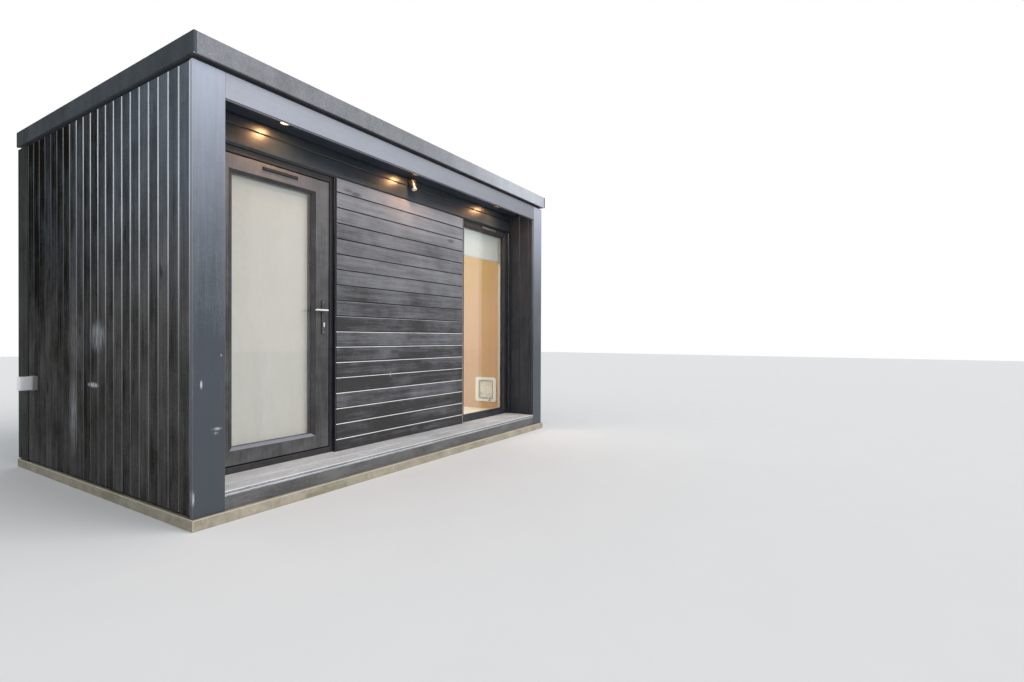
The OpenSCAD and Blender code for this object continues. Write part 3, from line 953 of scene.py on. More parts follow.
    def ring(self, outer: Outline, inner: Outline, depth: float, place: Matrix, ease: float = 0.0,
             segments: int = 1) -> None:
        """Adds a flat ring between two outlines that have as many points.

        Args:
            outer: The outer outline.
            inner: The inner outline.
            depth: The ring's thickness, along Z.
            place: Where it goes.
            ease: Width of the eased edges.
            segments: Steps across them.
        """
        part = bmesh.new()
        loops = []
        for outline in (outer, inner):
            verts = [part.verts.new((x, y, 0.0)) for x, y in outline]
            loops += [part.edges.new(pair) for pair in zip(verts, verts[1:] + verts[:1])]
        bmesh.ops.bridge_loops(part, edges=loops)
        self._pull(part, depth, place, ease, segments)

    def finish(self, material: bpy.types.Material, body: Body,
               replaces: Iterable[str] = ()) -> bpy.types.Object:
        """Makes the object and hangs it on its body.

        Args:
            material: Its material.
            body: The body it moves with.
            replaces: The CAD nodes that it stands for.

        Returns:
            The object.
        """
        mesh = bpy.data.meshes.new(self.name)
        if self.smooth:
            for face in self.bm.faces:
                face.smooth = True
        self.bm.to_mesh(mesh)
        self.bm.free()
        mesh.materials.append(material)
        piece = bpy.data.objects.new(self.name, mesh)
        bpy.context.scene.collection.objects.link(piece)
        if self.smooth:
            mesh.set_sharp_from_angle(angle=SMOOTH_BELOW)
        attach(piece, body.value)
        for node in replaces:
            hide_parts(node)
        LOG.info("%s: %d faces on %s", self.name, len(mesh.polygons), body.value)
        return piece


def rounded(width: float, height: float, radius: float, steps: int = 6) -> list[tuple[float, float]]:
    """A rectangle with round corners about the origin.

    Args:
        width: Its width.
        height: Its height.
        radius: Its corner radius.
        steps: Steps round a corner.

    Returns:
        The outline's points.
    """
    points = []
    for quarter, (sx, sy) in enumerate(((1, 1), (-1, 1), (-1, -1), (1, -1))):
        centre = (sx * (width / 2.0 - radius), sy * (height / 2.0 - radius))
        for i in range(steps + 1):
            a = QUARTER * (quarter + i / steps)
            points.append((centre[0] + radius * math.cos(a), centre[1] + radius * math.sin(a)))
    return points


def facing(direction: str, at: Sequence[float]) -> Matrix:
    """A place whose Z looks along a level direction, with Y up.

    Args:
        direction: One of -x, +x, -y and +y.
        at: The place.

    Returns:
        The matrix.
    """
    turn = {"-y": 0.0, "+y": math.pi, "-x": -QUARTER, "+x": QUARTER}[direction]
    upright = Matrix.Rotation(turn, 4, "Z") @ Matrix.Rotation(QUARTER, 4, "X")
    return Matrix.Translation(Vector(at)) @ upright


def dress(node: str, material: bpy.types.Material) -> None:
    """Gives a CAD node its material.

    Args:
        node: The node's name.
        material: The material.
    """
    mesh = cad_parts[node].data
    mesh.materials.clear()
    mesh.materials.append(material)
    LOG.info("%s: dressed with %s", node, material.name)


class Maker(ABC):
    """A part of the scene that makes its own pieces."""

    @abstractmethod
    def make(self) -> None:
        """Makes the pieces."""


@dataclass
class Cladding(Maker):
    """The board cladding of the four sides and the recess."""

    plan: Plan
    side_first: float = 25.5
    side_pitch: float = 109.4
    front_first: float = 195.0
    front_pitch: float = 112.5
    backing: float = 0.008
    groove: float = 0.003
    ease: float = 0.0075
    front_ease: float = 0.0045
    front_boards: int = 20
    side_boards: int = 24
    back_boards: int = 34
    flap_rim: tuple[float, float] = (0.042, 0.030)
    strip: float = 0.006
    reveal_depth: float = 0.020
    reveal_cuts: tuple[float, ...] = (68.0, 181.0, 290.0)
    shades: random.Random = field(default_factory=lambda: random.Random(7))

    def tone(self) -> float:
        """A shade for the next board."""
        return self.shades.uniform(0.15, 0.85)

    def upright(self, job: Joiner, low: Vector, high: Vector, run: Axis, cuts: Sequence[float],
                hole: Box | None = None) -> None:
        """Adds upright boards on a wall.

        Args:
            job: The piece.
            low: The wall's lowest corner.
            high: Its highest corner.
            run: The level axis along which the boards follow each other.
            cuts: Where the grooves are along that axis.
            hole: An opening that the boards leave free.
        """
        axis = run.value
        stops = [low[axis], *[c for c in cuts if low[axis] + 0.01 < c < high[axis] - 0.01], high[axis]]
        for first, last in zip(stops, stops[1:]):
            a, b = low.copy(), high.copy()
            a[axis] = first + (self.groove / 2.0 if first > low[axis] else 0.0)
            b[axis] = last - (self.groove / 2.0 if last < high[axis] else 0.0)
            for piece_low, piece_high in self.around(a, b, axis, hole):
                job.board(piece_low, piece_high, self.ease, self.tone())

    @staticmethod
    def around(a: Vector, b: Vector, axis: int, hole: Box | None) -> list[Box]:
        """Splits a board where an opening crosses it.

        Args:
            a: The board's lowest corner.
            b: Its highest corner.
            axis: The level axis across the board.
            hole: The opening.

        Returns:
            The corners of what is left.
        """
        if hole is None or b[axis] <= hole[0][axis] or a[axis] >= hole[1][axis]:
            return [(a, b)]
        parts = []
        for z_low, z_high in ((a.z, hole[0].z), (hole[1].z, b.z)):
            low, high = a.copy(), b.copy()
            low.z, high.z = z_low, z_high
            parts.append((low, high))
        for first, last in ((a[axis], hole[0][axis]), (hole[1][axis], b[axis])):
            if last - first > 0.012:
                low, high = a.copy(), b.copy()
                low[axis], high[axis] = first, last
                low.z, high.z = hole[0].z, hole[1].z
                parts.append((low, high))
        return parts

    def sides(self) -> None:
        """Clads the two sides and the back, and dresses the corner boards."""
        scuffs = (
            Scuff(self.plan.at(0, 1120, 940), (0.05, 0.15, 0.13), 0.95),
            Scuff(self.plan.at(0, 1190, 632), (0.05, 0.11, 0.020), 3.2),
            Scuff(self.plan.at(0, 1500, 430), (0.05, 0.09, 0.34), 0.6),
            Scuff(self.plan.at(0, 1460, 900), (0.05, 0.16, 0.30), 0.25),
            Scuff(self.plan.at(0, 300, 1330), (0.05, 0.04, 0.05), 0.4),
        )
        # Painted light on the left boards: paler towards the top at the front, darker towards the top at the
        # back, bluer higher up, and a painted highlight on the eased edges that grows with height and fades
        # to the back.
        left = StainedTimber("black_boards_left", Axis.Z, (0.012, 0.011, 0.009), (0.20, 0.235, 0.28),
                             (0.0, 0.06, -0.006, 0.28), edge=(0.95, 0.98, 1.0), edge_lift=(0.09, 0.165, 0.93),
                             rough=0.55, gloss=0.0, scuffs=scuffs, foot=(0.215, 0.205, 0.20), slope=-0.18,
                             mottle=1.1, grit=0.4).mix()
        # Painted light on the right and back boards: a little paler and bluer higher up, with a faint painted
        # highlight on the eased edges.
        other = StainedTimber("black_boards_side", Axis.Z, (0.014, 0.013, 0.012), (0.15, 0.165, 0.18),
                              (0.0, 0.0, 0.012, 0.3), edge_lift=(0.08, 0.03, 0.0), rough=0.55, gloss=0.0,
                              foot=(0.15, 0.146, 0.14), grit=0.35).mix()
        front = self.plan.front
        cuts = [front + (self.side_first + self.side_pitch * k) * MM for k in range(self.side_boards)]
        low, high = corner("left_cladding")
        job = Joiner("left_boards", turned_back=True)
        self.upright(job, low, Vector((high.x - self.backing, high.y, high.z)), Axis.Y, cuts)
        job.board((high.x - self.backing, low.y, low.z), high, 0.0, 0.0)
        job.finish(left, Body.BUILDING, ["left_cladding"])
        low, high = corner("right_cladding")
        frame_low, frame_high = corner("pet_flap_frame")
        rim = Vector((0.0, *self.flap_rim))
        hole = (frame_low + rim, frame_high - rim)
        job = Joiner("right_boards")
        self.upright(job, Vector((low.x + self.backing, low.y, low.z)), high, Axis.Y, cuts, hole)
        for part in self.around(low.copy(), Vector((low.x + self.backing, high.y, high.z)), 1, hole):
            job.board(*part, 0.0, 0.0)
        job.finish(other, Body.BUILDING, ["right_cladding"])
        low, high = corner("back_cladding")
        cuts = [low.x + (self.side_pitch * k) * MM for k in range(1, self.back_boards)]
        job = Joiner("back_boards")
        self.upright(job, Vector((low.x, low.y + self.backing, low.z)), high, Axis.X, cuts)
        job.board(low, (high.x, low.y + self.backing, high.z), 0.0, 0.0)
        job.finish(other, Body.BUILDING, ["back_cladding"])
        # Painted shade: the corner boards grow darker with height.
        corners = StainedTimber("black_corner_boards", Axis.Z, (0.016, 0.015, 0.014), (0.15, 0.15, 0.148),
                                (0.0, 0.0, -0.012, 0.55), rough=0.55, gloss=0.0, grit=0.35).mix()
        dress("corner_boards", corners)

    def level(self, job: Joiner, low: Sequence[float], high: Sequence[float]) -> None:
        """Adds level boards of the front wall, less half a groove at the foot and the head of each.

        Args:
            job: The piece.
            low: The lowest corner of the boards and their grooves.
            high: The highest corner.
        """
        heights = (self.front_first + self.front_pitch * k for k in range(self.front_boards))
        grooves = [self.plan.at(0, 0, height).z for height in heights]
        stops = [low[2], *[z for z in grooves if low[2] + 0.02 < z < high[2] - 0.02], high[2]]
        for bottom, top in zip(stops, stops[1:]):
            first = (low[0], low[1], bottom + self.groove / 2.0)
            job.board(first, (high[0], high[1], top - self.groove / 2.0), self.front_ease, self.tone())

    def front(self) -> None:
        """Clads the front wall between the door and the window."""
        scuff = Scuff(self.plan.at(1690, 295, 640), (0.012, 0.02, 0.03), 1.2)
        # Painted light on the front boards: paler to the right, with height and most near the top, and a
        # painted highlight on the eased edges that the fade takes away higher up.
        timber = StainedTimber("black_boards_front", Axis.X, (0.034, 0.033, 0.034), (0.44, 0.45, 0.50),
                               (0.04, 0.0, 0.045, 0.06), crown=(1.78, 2.04, 0.25), fade=(1.0, 1.25, 0.88),
                               edge=(0.90, 0.90, 0.92), edge_lift=(1.0, -0.06, 0.0), scuffs=(scuff,)).mix()
        low, high = corner("front_cladding")
        door, window = corner("door_frame"), corner("window_frame")
        left, right, head = door[1].x, window[0].x, window[1].z
        face, rear = low.y, high.y - self.backing
        job = Joiner("front_boards", level=True)
        foot = low.z - self.groove / 2.0
        self.level(job, (left + self.strip, face, foot), (right - self.strip, rear, head))
        for left_x, right_x in ((low.x, door[0].x), (left, right), (window[1].x, high.x)):
            job.board((left_x, rear, low.z), (right_x, high.y, head), 0.0, 0.0)
        job.finish(timber, Body.BUILDING, ["front_cladding"])
        self.header(low, high, (door[0].x, window[1].x), head)
        # Painted light: the strip beside the window is a lit copy of the black stain and the one beside the
        # door a shaded copy.
        pale = StainedTimber("edge_strip_lit", Axis.Z, (0.20, 0.20, 0.21), (0.52, 0.52, 0.55),
                             (0.0, 0.0, 0.03, 0.35), rough=0.45, knots=0.0).mix()
        shaded_strip = StainedTimber("edge_strip_shaded", Axis.Z, (0.020, 0.026, 0.034), (0.07, 0.085, 0.105),
                             (0.0, 0.0, 0.02, 0.3), edge_lift=(0.1, 0.0, 0.0), rough=0.45, knots=0.0).mix()
        for x, skin, side in ((left, shaded_strip, "left"), (right - self.strip, pale, "right")):
            job = Joiner(f"panel_edge_{side}")
            job.board((x, face - 0.0008, low.z), (x + self.strip, rear, head), 0.0008)
            job.finish(skin, Body.BUILDING)

    def header(self, low: Vector, high: Vector, piers: tuple[float, float], head: float) -> None:
        """Clads the front wall over the door and the window, and beside them.

        Args:
            low: The front cladding's lowest corner.
            high: Its highest corner.
            piers: The left side of the door frame and the right side of the window frame.
            head: The top of the two frames.
        """
        # Painted shade: the header boards are a darker copy of the black stain, for the shade under the
        # soffit, and their eased edges take only a dim painted highlight.
        shaded = StainedTimber("black_boards_header", Axis.X, (0.013, 0.020, 0.026), (0.075, 0.105, 0.135),
                               (0.0, 0.0, 0.0, 0.33), edge=(0.16, 0.16, 0.17), edge_lift=(0.4, 0.0, 0.0),
                               rough=0.32, gloss=1.0).mix()
        rear = high.y - self.backing
        job = Joiner("header_boards", level=True)
        self.level(job, (low.x, low.y, head + 0.006), (high.x, rear, high.z + self.groove / 2.0))
        for left_x, right_x in ((low.x, piers[0]), (piers[1], high.x)):
            job.board((left_x, low.y, low.z), (right_x, rear, head), 0.0005, 0.1)
        job.board((low.x, rear, head), high, 0.0, 0.0)
        job.finish(shaded, Body.BUILDING)

    def reveal(self) -> None:
        """Clads the two inner faces of the recess."""
        # Painted shade: the reveal boards are a dark copy of the black stain that grows darker towards the
        # back of the recess, and a little paler with height.
        skin = StainedTimber("black_boards_reveal", Axis.Z, (0.024, 0.028, 0.035), (0.115, 0.128, 0.160),
                             (0.0, -0.3, 0.015, -0.15), edge=(0.45, 0.45, 0.48),
                             edge_lift=(0.02, 0.025, 0.0), gloss=0.25).mix()
        low, high = corner("reveal_cladding")
        cuts = [self.plan.at(0, y, 0).y for y in self.reveal_cuts]
        depth = self.reveal_depth - self.backing
        job = Joiner("reveal_boards")
        for back, face in ((low.x, low.x + self.backing),
                           (high.x - self.backing, high.x - self.reveal_depth)):
            first, last = Vector((face, low.y, low.z)), Vector((face + depth, high.y, high.z))
            self.upright(job, first, last, Axis.Y, cuts)
            job.board((back, low.y, low.z), (back + self.backing, high.y, high.z), 0.0, 0.0)
        job.finish(skin, Body.BUILDING, ["reveal_cladding"])

    def make(self) -> None:
        """Makes all the cladding."""
        self.sides()
        self.front()
        self.reveal()


@dataclass
class Portal(Maker):
    """The posts, fascia and soffit of the recessed front, with its lamps and sensor."""

    plan: Plan
    ease: float = 0.0022
    screw_apart: float = 0.017
    screw: Outline = ((0.0035, -0.001), (0.0035, 0.0), (0.0025, 0.0010), (0.0, 0.0012))

    def boards(self) -> None:
        """Makes the post boards, the fascia and the soffit."""
        scuffs = (
            Scuff(self.plan.at(125, 0, 450), (0.035, 0.05, 0.012), 1.2),
            Scuff(self.plan.at(118, 0, 428), (0.020, 0.05, 0.010), 1.0),
            Scuff(self.plan.at(45, 0, 690), (0.008, 0.05, 0.030), 1.8),
            Scuff(self.plan.at(150, 0, 840), (0.007, 0.05, 0.010), 1.8),
            Scuff(self.plan.at(4, 0, 110), (0.010, 0.05, 0.060), 1.2),
        )
        # Painted reflection of the sky: the posts are a pale bluish copy of the black stain that grows paler
        # towards the top.
        skin = StainedTimber("satin_posts_painted_sheen", Axis.Z, (0.057, 0.068, 0.081), (0.43, 0.465, 0.56),
                             (0.0, 0.0, 0.076, -0.06), edge=(0.55, 0.57, 0.64), edge_lift=(0.12, 0.04, 0.0),
                             rough=0.36, gloss=0.35, knots=0.1, scuffs=scuffs, mottle=0.45, grit=0.16).mix()
        # Painted reflection of the sky: the fascia is a pale bluish copy of the black stain that grows darker
        # to the right.
        band = StainedTimber("satin_fascia_painted_sheen", Axis.X, (0.22, 0.23, 0.26), (0.45, 0.47, 0.54),
                             (-0.24, 0.0, 0.0, 0.40), edge=(0.55, 0.57, 0.64), rough=0.36, gloss=0.35,
                             knots=0.3, mottle=0.5, grit=0.3).mix()
        low, high = corner("post_boards")
        width = corner("fascia_board")[0].x - low.x
        job = Joiner("portal_posts")
        for x in (low.x, high.x - width):
            job.board((x, low.y, low.z), (x + width, high.y, high.z), self.ease, 0.5, 2)
        job.finish(skin, Body.BUILDING, ["post_boards"])
        low, high = corner("fascia_board")
        job = Joiner("portal_fascia")
        job.board((low.x + 0.0006, low.y, low.z), (high.x - 0.0006, high.y, high.z), self.ease, 0.5, 2)
        job.finish(band, Body.BUILDING, ["fascia_board"])
        shade = StainedTimber("shaded_soffit", Axis.X, (0.022, 0.030, 0.042), (0.095, 0.12, 0.16),
                              (0.0, 0.0, 0.0, 0.3), gloss=0.2).mix()
        dress("soffit", shade)

    def lamps(self) -> None:
        """Dresses the lamps and the sensor, and adds the sensor's screws."""
        rim = Moulded("lamp_rim_dark", (0.035, 0.037, 0.042), (0.12, 0.12, 0.12), 0.2, metal=0.2).mix()
        dress("lamp_rims", rim)
        low, high = corner("lamp_lenses")
        lit = LampGlow("warm_lens", (1.0, 0.72, 0.46), 3.0, low.x + 0.2, (0.10, 0.06, 0.03)).mix()
        dress("lamp_lenses", lit)
        case = Moulded("sensor_case", (0.030, 0.028, 0.027), (0.16, 0.16, 0.16), 0.15, 0.30, gloss=1.0).mix()
        steel = Moulded("screw_steel", (0.55, 0.54, 0.52), (0.4, 0.38, 0.35), 0.2, 0.25, metal=1.0).mix()
        lens = Moulded("sensor_lens_white", (0.78, 0.76, 0.72), (0.6, 0.58, 0.52), 0.25, 0.3).mix()
        dress("sensor_body", case)
        dress("sensor_lens", lens)
        low, high = corner("sensor_body")
        job = Joiner("sensor_screws", smooth=True)
        for side in (-self.screw_apart, self.screw_apart):
            at = Vector(((low.x + high.x) / 2.0 + side, high.y - 0.007, high.z - 0.050))
            job.turned(self.screw, facing("-y", at), 12)
        job.finish(steel, Body.BUILDING)

    def make(self) -> None:
        """Makes the portal."""
        self.boards()
        self.lamps()


@dataclass
class Roof(Maker):
    """The roof's trims, sheet and panel."""

    nail_pitch: float = 0.62
    nail_margin: float = 0.08
    nail_height: float = 0.022
    nail: Outline = ((0.0035, -0.001), (0.0035, 0.0), (0.0025, 0.0008), (0.0, 0.0011))

    def make(self) -> None:
        """Dresses the roof and adds the trim's nail heads."""
        edge = corner("roof_trim_front")[0].x + 0.009
        # Painted light: the front trim is a lit copy of the trim sheet, paler towards its right end, and the
        # sides and the back take the shaded copy.
        front = SpeckledSheet("roof_trim_lit", (0.130, 0.135, 0.149), (0.34, 0.35, 0.375), lap=edge,
                              end=(-0.25, 1.40)).mix()
        side = SpeckledSheet("roof_trim_shaded", (0.040, 0.047, 0.053), (0.125, 0.140, 0.155),
                             gloss=0.0).mix()
        rubber = SpeckledSheet("roof_sheet_rubber", (0.05, 0.05, 0.052), (0.13, 0.13, 0.13), 0.8, 90.0).mix()
        dark = SpeckledSheet("roof_underside", (0.045, 0.050, 0.060), (0.100, 0.105, 0.120), 0.7).mix()
        dress("roof_trim_front", front)
        dress("roof_trim_sides", side)
        dress("roof_trim_back", side)
        dress("roof_sheet", rubber)
        dress("roof_panel", dark)
        low, high = corner("roof_trim_front")
        steel = Moulded("nail_heads", (0.62, 0.62, 0.60), (0.4, 0.38, 0.34), 0.3, 0.4, metal=0.8).mix()
        job = Joiner("trim_nails", smooth=True)
        count = int((high.x - low.x) / self.nail_pitch)
        for i in range(count + 1):
            x = low.x + self.nail_margin + i * (high.x - low.x - 2.0 * self.nail_margin) / count
            job.turned(self.nail, facing("-y", (x, low.y + 0.0003, low.z + self.nail_height)), 10)
        job.finish(steel, Body.BUILDING)


@dataclass
class Step(Maker):
    """The concrete base, the deck board and its riser."""

    nosing: float = 0.142
    seam: float = 0.0024
    groove: float = 0.008
    groove_depth: float = 0.010

    def make(self) -> None:
        """Makes the step and dresses the base."""
        low, high = corner("base_slab")
        concrete = Weathered("base_concrete", (0.21, 0.185, 0.14), (0.52, 0.47, 0.38), (0.14, 0.15, 0.085),
                             0.55, grain=45.0, rough=0.85, depth=0.004).mix()
        job = Joiner("concrete_base")
        job.board(low, high, 0.004, 0.5, 2)
        job.finish(concrete, Body.BUILDING, ["base_slab"])
        # Painted shade on the deck's faces that look to the front, and painted light across x.
        deck = Weathered("deck_board_grey", (0.22, 0.225, 0.24), (0.90, 0.905, 0.93), (0.24, 0.24, 0.25), 0.3,
                         stretch=(0.6, 1.8, 1.8), grain=75.0, rough=0.62, depth=0.0008, blotchy=0.7,
                         front=0.45, along=(0.0, 0.22, 0.12)).mix()
        low, high = corner("deck_board")
        bottom, top = ((low.z + high.z + side * self.groove) / 2.0 for side in (-1.0, 1.0))
        near, far = (low.y + self.nosing + side * self.seam / 2.0 for side in (-1.0, 1.0))
        job = Joiner("deck_planks")
        job.board((low.x, low.y, top), (high.x, near, high.z), 0.0034, 0.5, 2)
        job.board((low.x, far, top), high, 0.0015, 0.4, 2)
        job.board(low, (high.x, high.y, bottom), 0.002, 0.5, 2)
        job.board((low.x, low.y + self.groove_depth, bottom), (high.x, high.y, top), 0.0, 0.0)
        job.finish(deck, Body.BUILDING, ["deck_board"])
        riser = Weathered("riser_slate", (0.045, 0.045, 0.047), (0.19, 0.185, 0.185), (0.26, 0.26, 0.25),
                          0.25, stretch=(0.6, 1.0, 1.4), grain=55.0, rough=0.6).mix()
        low, high = corner("step_riser")
        job = Joiner("riser_board")
        job.board(low, high, 0.0015, 0.5, 1)
        job.finish(riser, Body.BUILDING, ["step_riser"])


@dataclass
class Frames(Maker):
    """The door and window frames with their glass, blinds, vents and door furniture."""

    pane: float = 0.004
    spacer: float = 0.013
    cassette: float = 0.040
    door_bar: float = 0.020
    window_bar: float = 0.016
    tuck: float = 0.002
    roller: float = 0.017
    vent_cap: float = 0.010
    vent_slots: int = 12
    plate_out: float = 0.008
    screw_reach: float = 0.106
    screw: Outline = ((0.0048, -0.0015), (0.0048, 0.0), (0.0036, 0.0010), (0.0013, 0.0013), (0.0013, 0.0004),
                      (0.0, 0.0004))
    lock_below: float = 0.046
    lock: Outline = ((0.0083, -0.001), (0.0083, 0.0), (0.0075, 0.0010), (0.0, 0.0010))

    def foil(self) -> None:
        """Dresses the frames, the leaf and its beads."""
        # The frames grow paler with height: partly dust, partly painted light.
        foil = Moulded("foiled_frame", (0.024, 0.025, 0.029), (0.20, 0.19, 0.185), 0.14, 0.38, gloss=0.35,
                       rise=0.012)
        room_side = corner("window_glass")[1].y - 0.003
        # The leaf grows paler towards its top, partly dust and partly painted light, and near the ground by
        # painted light thrown up from the deck.
        leaf = Moulded("foiled_leaf", (0.038, 0.037, 0.038), (0.30, 0.295, 0.305), 0.20, 0.36, gloss=0.4,
                       rise=0.018, top=0.0045, brushed=0.4, below=0.10)
        # Painted light from the sky on the beads' faces that look up.
        bead = Moulded("foiled_bead", (0.030, 0.028, 0.030), (0.34, 0.34, 0.40), 0.10, 0.34, gloss=0.4,
                       ledge=0.6)
        dress("door_frame", foil.mix())
        dress("window_frame", replace(foil, name="foiled_frame_pale_inside", inside=room_side).mix())
        dress("door_leaf", leaf.mix())
        dress("door_beads", bead.mix())

    def glazing(self) -> None:
        """Makes the two glazing units: two panes and a spacer each."""
        glass = ClearGlass("clear_glass", 0.035).mix()
        black = Moulded("spacer_black", (0.020, 0.020, 0.022), (0.05, 0.05, 0.05), 0.2, 0.5).mix()
        for name, body in (("door", Body.DOOR), ("window", Body.BUILDING)):
            node = f"{name}_glass"
            low, high = corner(node)
            job = Joiner(f"{name}_panes")
            job.board(low, (high.x, low.y + self.pane, high.z), 0.0)
            job.board((low.x, high.y - self.pane, low.z), high, 0.0)
            job.finish(glass, body, [node])
            size = high - low
            job = Joiner(f"{name}_spacer")
            centre = Vector(((low.x + high.x) / 2.0, high.y - self.pane, (low.z + high.z) / 2.0))
            outer, inner = (rounded(size.x - 2.0 * back, size.z - 2.0 * back, 0.002, 2)
                            for back in (0.001, 0.001 + self.spacer))
            job.ring(outer, inner, size.y - 2.0 * self.pane, facing("-y", centre))
            job.finish(black, body)

    def cloth(self, name: str, low: Vector, high: Vector, material: bpy.types.Material, body: Body,
              replaces: Sequence[str]) -> bpy.types.Object:
        """Makes a hanging blind cloth with a faint wave.

        Args:
            name: The piece's name.
            low: Its lowest corner.
            high: Its highest corner.
            material: Its material.
            body: The body it moves with.
            replaces: The CAD nodes that it stands for.

        Returns:
            The piece.
        """
        job = Joiner(name, smooth=True)
        part = bmesh.new()
        bmesh.ops.create_grid(part, x_segments=16, y_segments=24, size=0.5)
        size = high - low
        centre = (low + high) / 2.0
        grown = Matrix.Diagonal((size.x, size.z, 1, 1))
        place = Matrix.Translation(centre) @ Matrix.Rotation(QUARTER, 4, "X") @ grown
        bmesh.ops.transform(part, matrix=place, verts=part.verts)
        reach = size.y * 0.3
        for vert in part.verts:
            across = (vert.co.x - centre.x) / size.x
            drop = (high.z - vert.co.z) / size.z
            vert.co.y += reach * drop * math.sin(across * 9.0) * math.cos(across * math.pi)
        bmesh.ops.solidify(part, geom=part.faces, thickness=0.0005)
        bmesh.ops.recalc_face_normals(part, faces=part.faces)
        job.take(part)
        return job.finish(material, body, replaces)

    def blinds(self) -> None:
        """Makes the door's lowered blind and the window's half raised one."""
        cream = WovenBlind("blind_cream", (0.62, 0.61, 0.59), (0.84, 0.83, 0.81), 150.0).mix()
        white = WovenBlind("blind_white", (0.74, 0.80, 0.83), (0.88, 0.94, 0.97), 300.0).mix()
        plastic = Moulded("blind_plastic", (0.70, 0.69, 0.66), (0.55, 0.53, 0.49), 0.2, 0.3).mix()
        low, high = corner("door_blind")
        top, bottom = high.z - self.cassette, low.z + self.door_bar
        job = Joiner("door_blind_cassette", smooth=True)
        job.board((low.x, low.y + 0.0003, top), high, 0.006, 0.5, 4)
        cassette = job.finish(plastic, Body.DOOR, ["door_blind"])
        job = Joiner("door_blind_bar", smooth=True)
        job.board((low.x, low.y + 0.0003, low.z), (high.x, low.y + 0.013, bottom), 0.003, 0.5, 3)
        bar = job.finish(plastic, Body.DOOR)
        cloth_low = Vector((low.x + 0.003, low.y + 0.001, bottom - self.tuck))
        cloth_high = Vector((high.x - 0.003, low.y + 0.004, top + self.tuck))
        cloth = self.cloth("door_blind_cloth", cloth_low, cloth_high, cream, Body.DOOR, [])
        low, high = corner("blind_roller")
        job = Joiner("window_blind_roller", smooth=True)
        radius, pin = self.roller, self.roller * 0.5
        length = high.x - low.x - 0.004
        axle = Vector((low.x + 0.002, (low.y + high.y) / 2.0, low.z + 0.008 + radius))
        profile = [(0.0, 0.0), (pin, 0.0), (pin, 0.006), (radius, 0.006), (radius, length - 0.006),
                   (pin, length - 0.006), (pin, length), (0.0, length)]
        job.turned(profile, Matrix.Translation(axle) @ Matrix.Rotation(QUARTER, 4, "Y"))
        for x in (low.x, high.x - 0.006):
            job.board((x, low.y, low.z), (x + 0.006, high.y, high.z), 0.002, 0.5, 2)
        roller = job.finish(white, Body.BUILDING, ["blind_roller"])
        low, high = corner("blind_cloth")
        bottom = low.z + self.window_bar
        job = Joiner("window_blind_bar", smooth=True)
        job.board(low, (high.x, high.y, bottom), 0.003, 0.5, 3)
        bar = job.finish(plastic, Body.BUILDING)
        middle = (low.y + high.y) / 2.0
        cloth_low = Vector((low.x, middle - 0.002, bottom - self.tuck))
        cloth_high = Vector((high.x, middle + 0.001, high.z))
        cloth = self.cloth("window_blind_cloth", cloth_low, cloth_high, white, Body.BUILDING, ["blind_cloth"])

    def vents(self) -> None:
        """Makes the trickle vents: a slim hood with end caps over a slot."""
        dark = Moulded("vent_dark", (0.012, 0.012, 0.013), (0.30, 0.30, 0.31), 0.10, 0.25).mix()
        # Painted shade: the window's white plastic vent is coloured dark grey.
        pale = Moulded("vent_white_shaded", (0.13, 0.13, 0.135), (0.17, 0.17, 0.17), 0.3, 0.35).mix()
        for node, body, skin, slot in (("door_vent", Body.DOOR, dark, "dark_plastic"),
                                       ("window_vent", Body.BUILDING, pale, "white_plastic")):
            low, high = corner(node)
            middle = (low.z + high.z) / 2.0
            left, right = low.x + 0.006, high.x - 0.006
            job = Joiner(f"{node}_hood", smooth=True)
            job.board((low.x, high.y - 0.003, low.z), high, 0.001, 0.5, 2)
            job.board((left, low.y, low.z + 0.003), (right, low.y + 0.003, high.z - 0.004), 0.001, 0.5, 2)
            job.board((left, low.y + 0.002, high.z - 0.006), (right, high.y - 0.002, high.z - 0.002),
                      0.001, 0.5, 2)
            for x in (low.x, high.x - self.vent_cap):
                job.board((x, low.y, low.z + 0.001), (x + self.vent_cap, high.y - 0.001, high.z - 0.001),
                          0.003, 0.5, 3)
            for i in range(1, self.vent_slots):
                x = low.x + i * (high.x - low.x) / self.vent_slots
                job.board((x - 0.0006, low.y + 0.003, middle - 0.006),
                          (x + 0.0006, high.y - 0.003, middle + 0.004), 0.0)
            job.finish(skin, body, [node])

    def furniture(self) -> None:
        """Dresses the handle plates, levers and hinges, and adds their screws and keyways."""
        plate = Moulded("handle_plate_dark", (0.055, 0.050, 0.050), (0.30, 0.29, 0.28), 0.25, 0.26, metal=0.5,
                        gloss=0.6).mix()
        low, high = corner("door_lever")
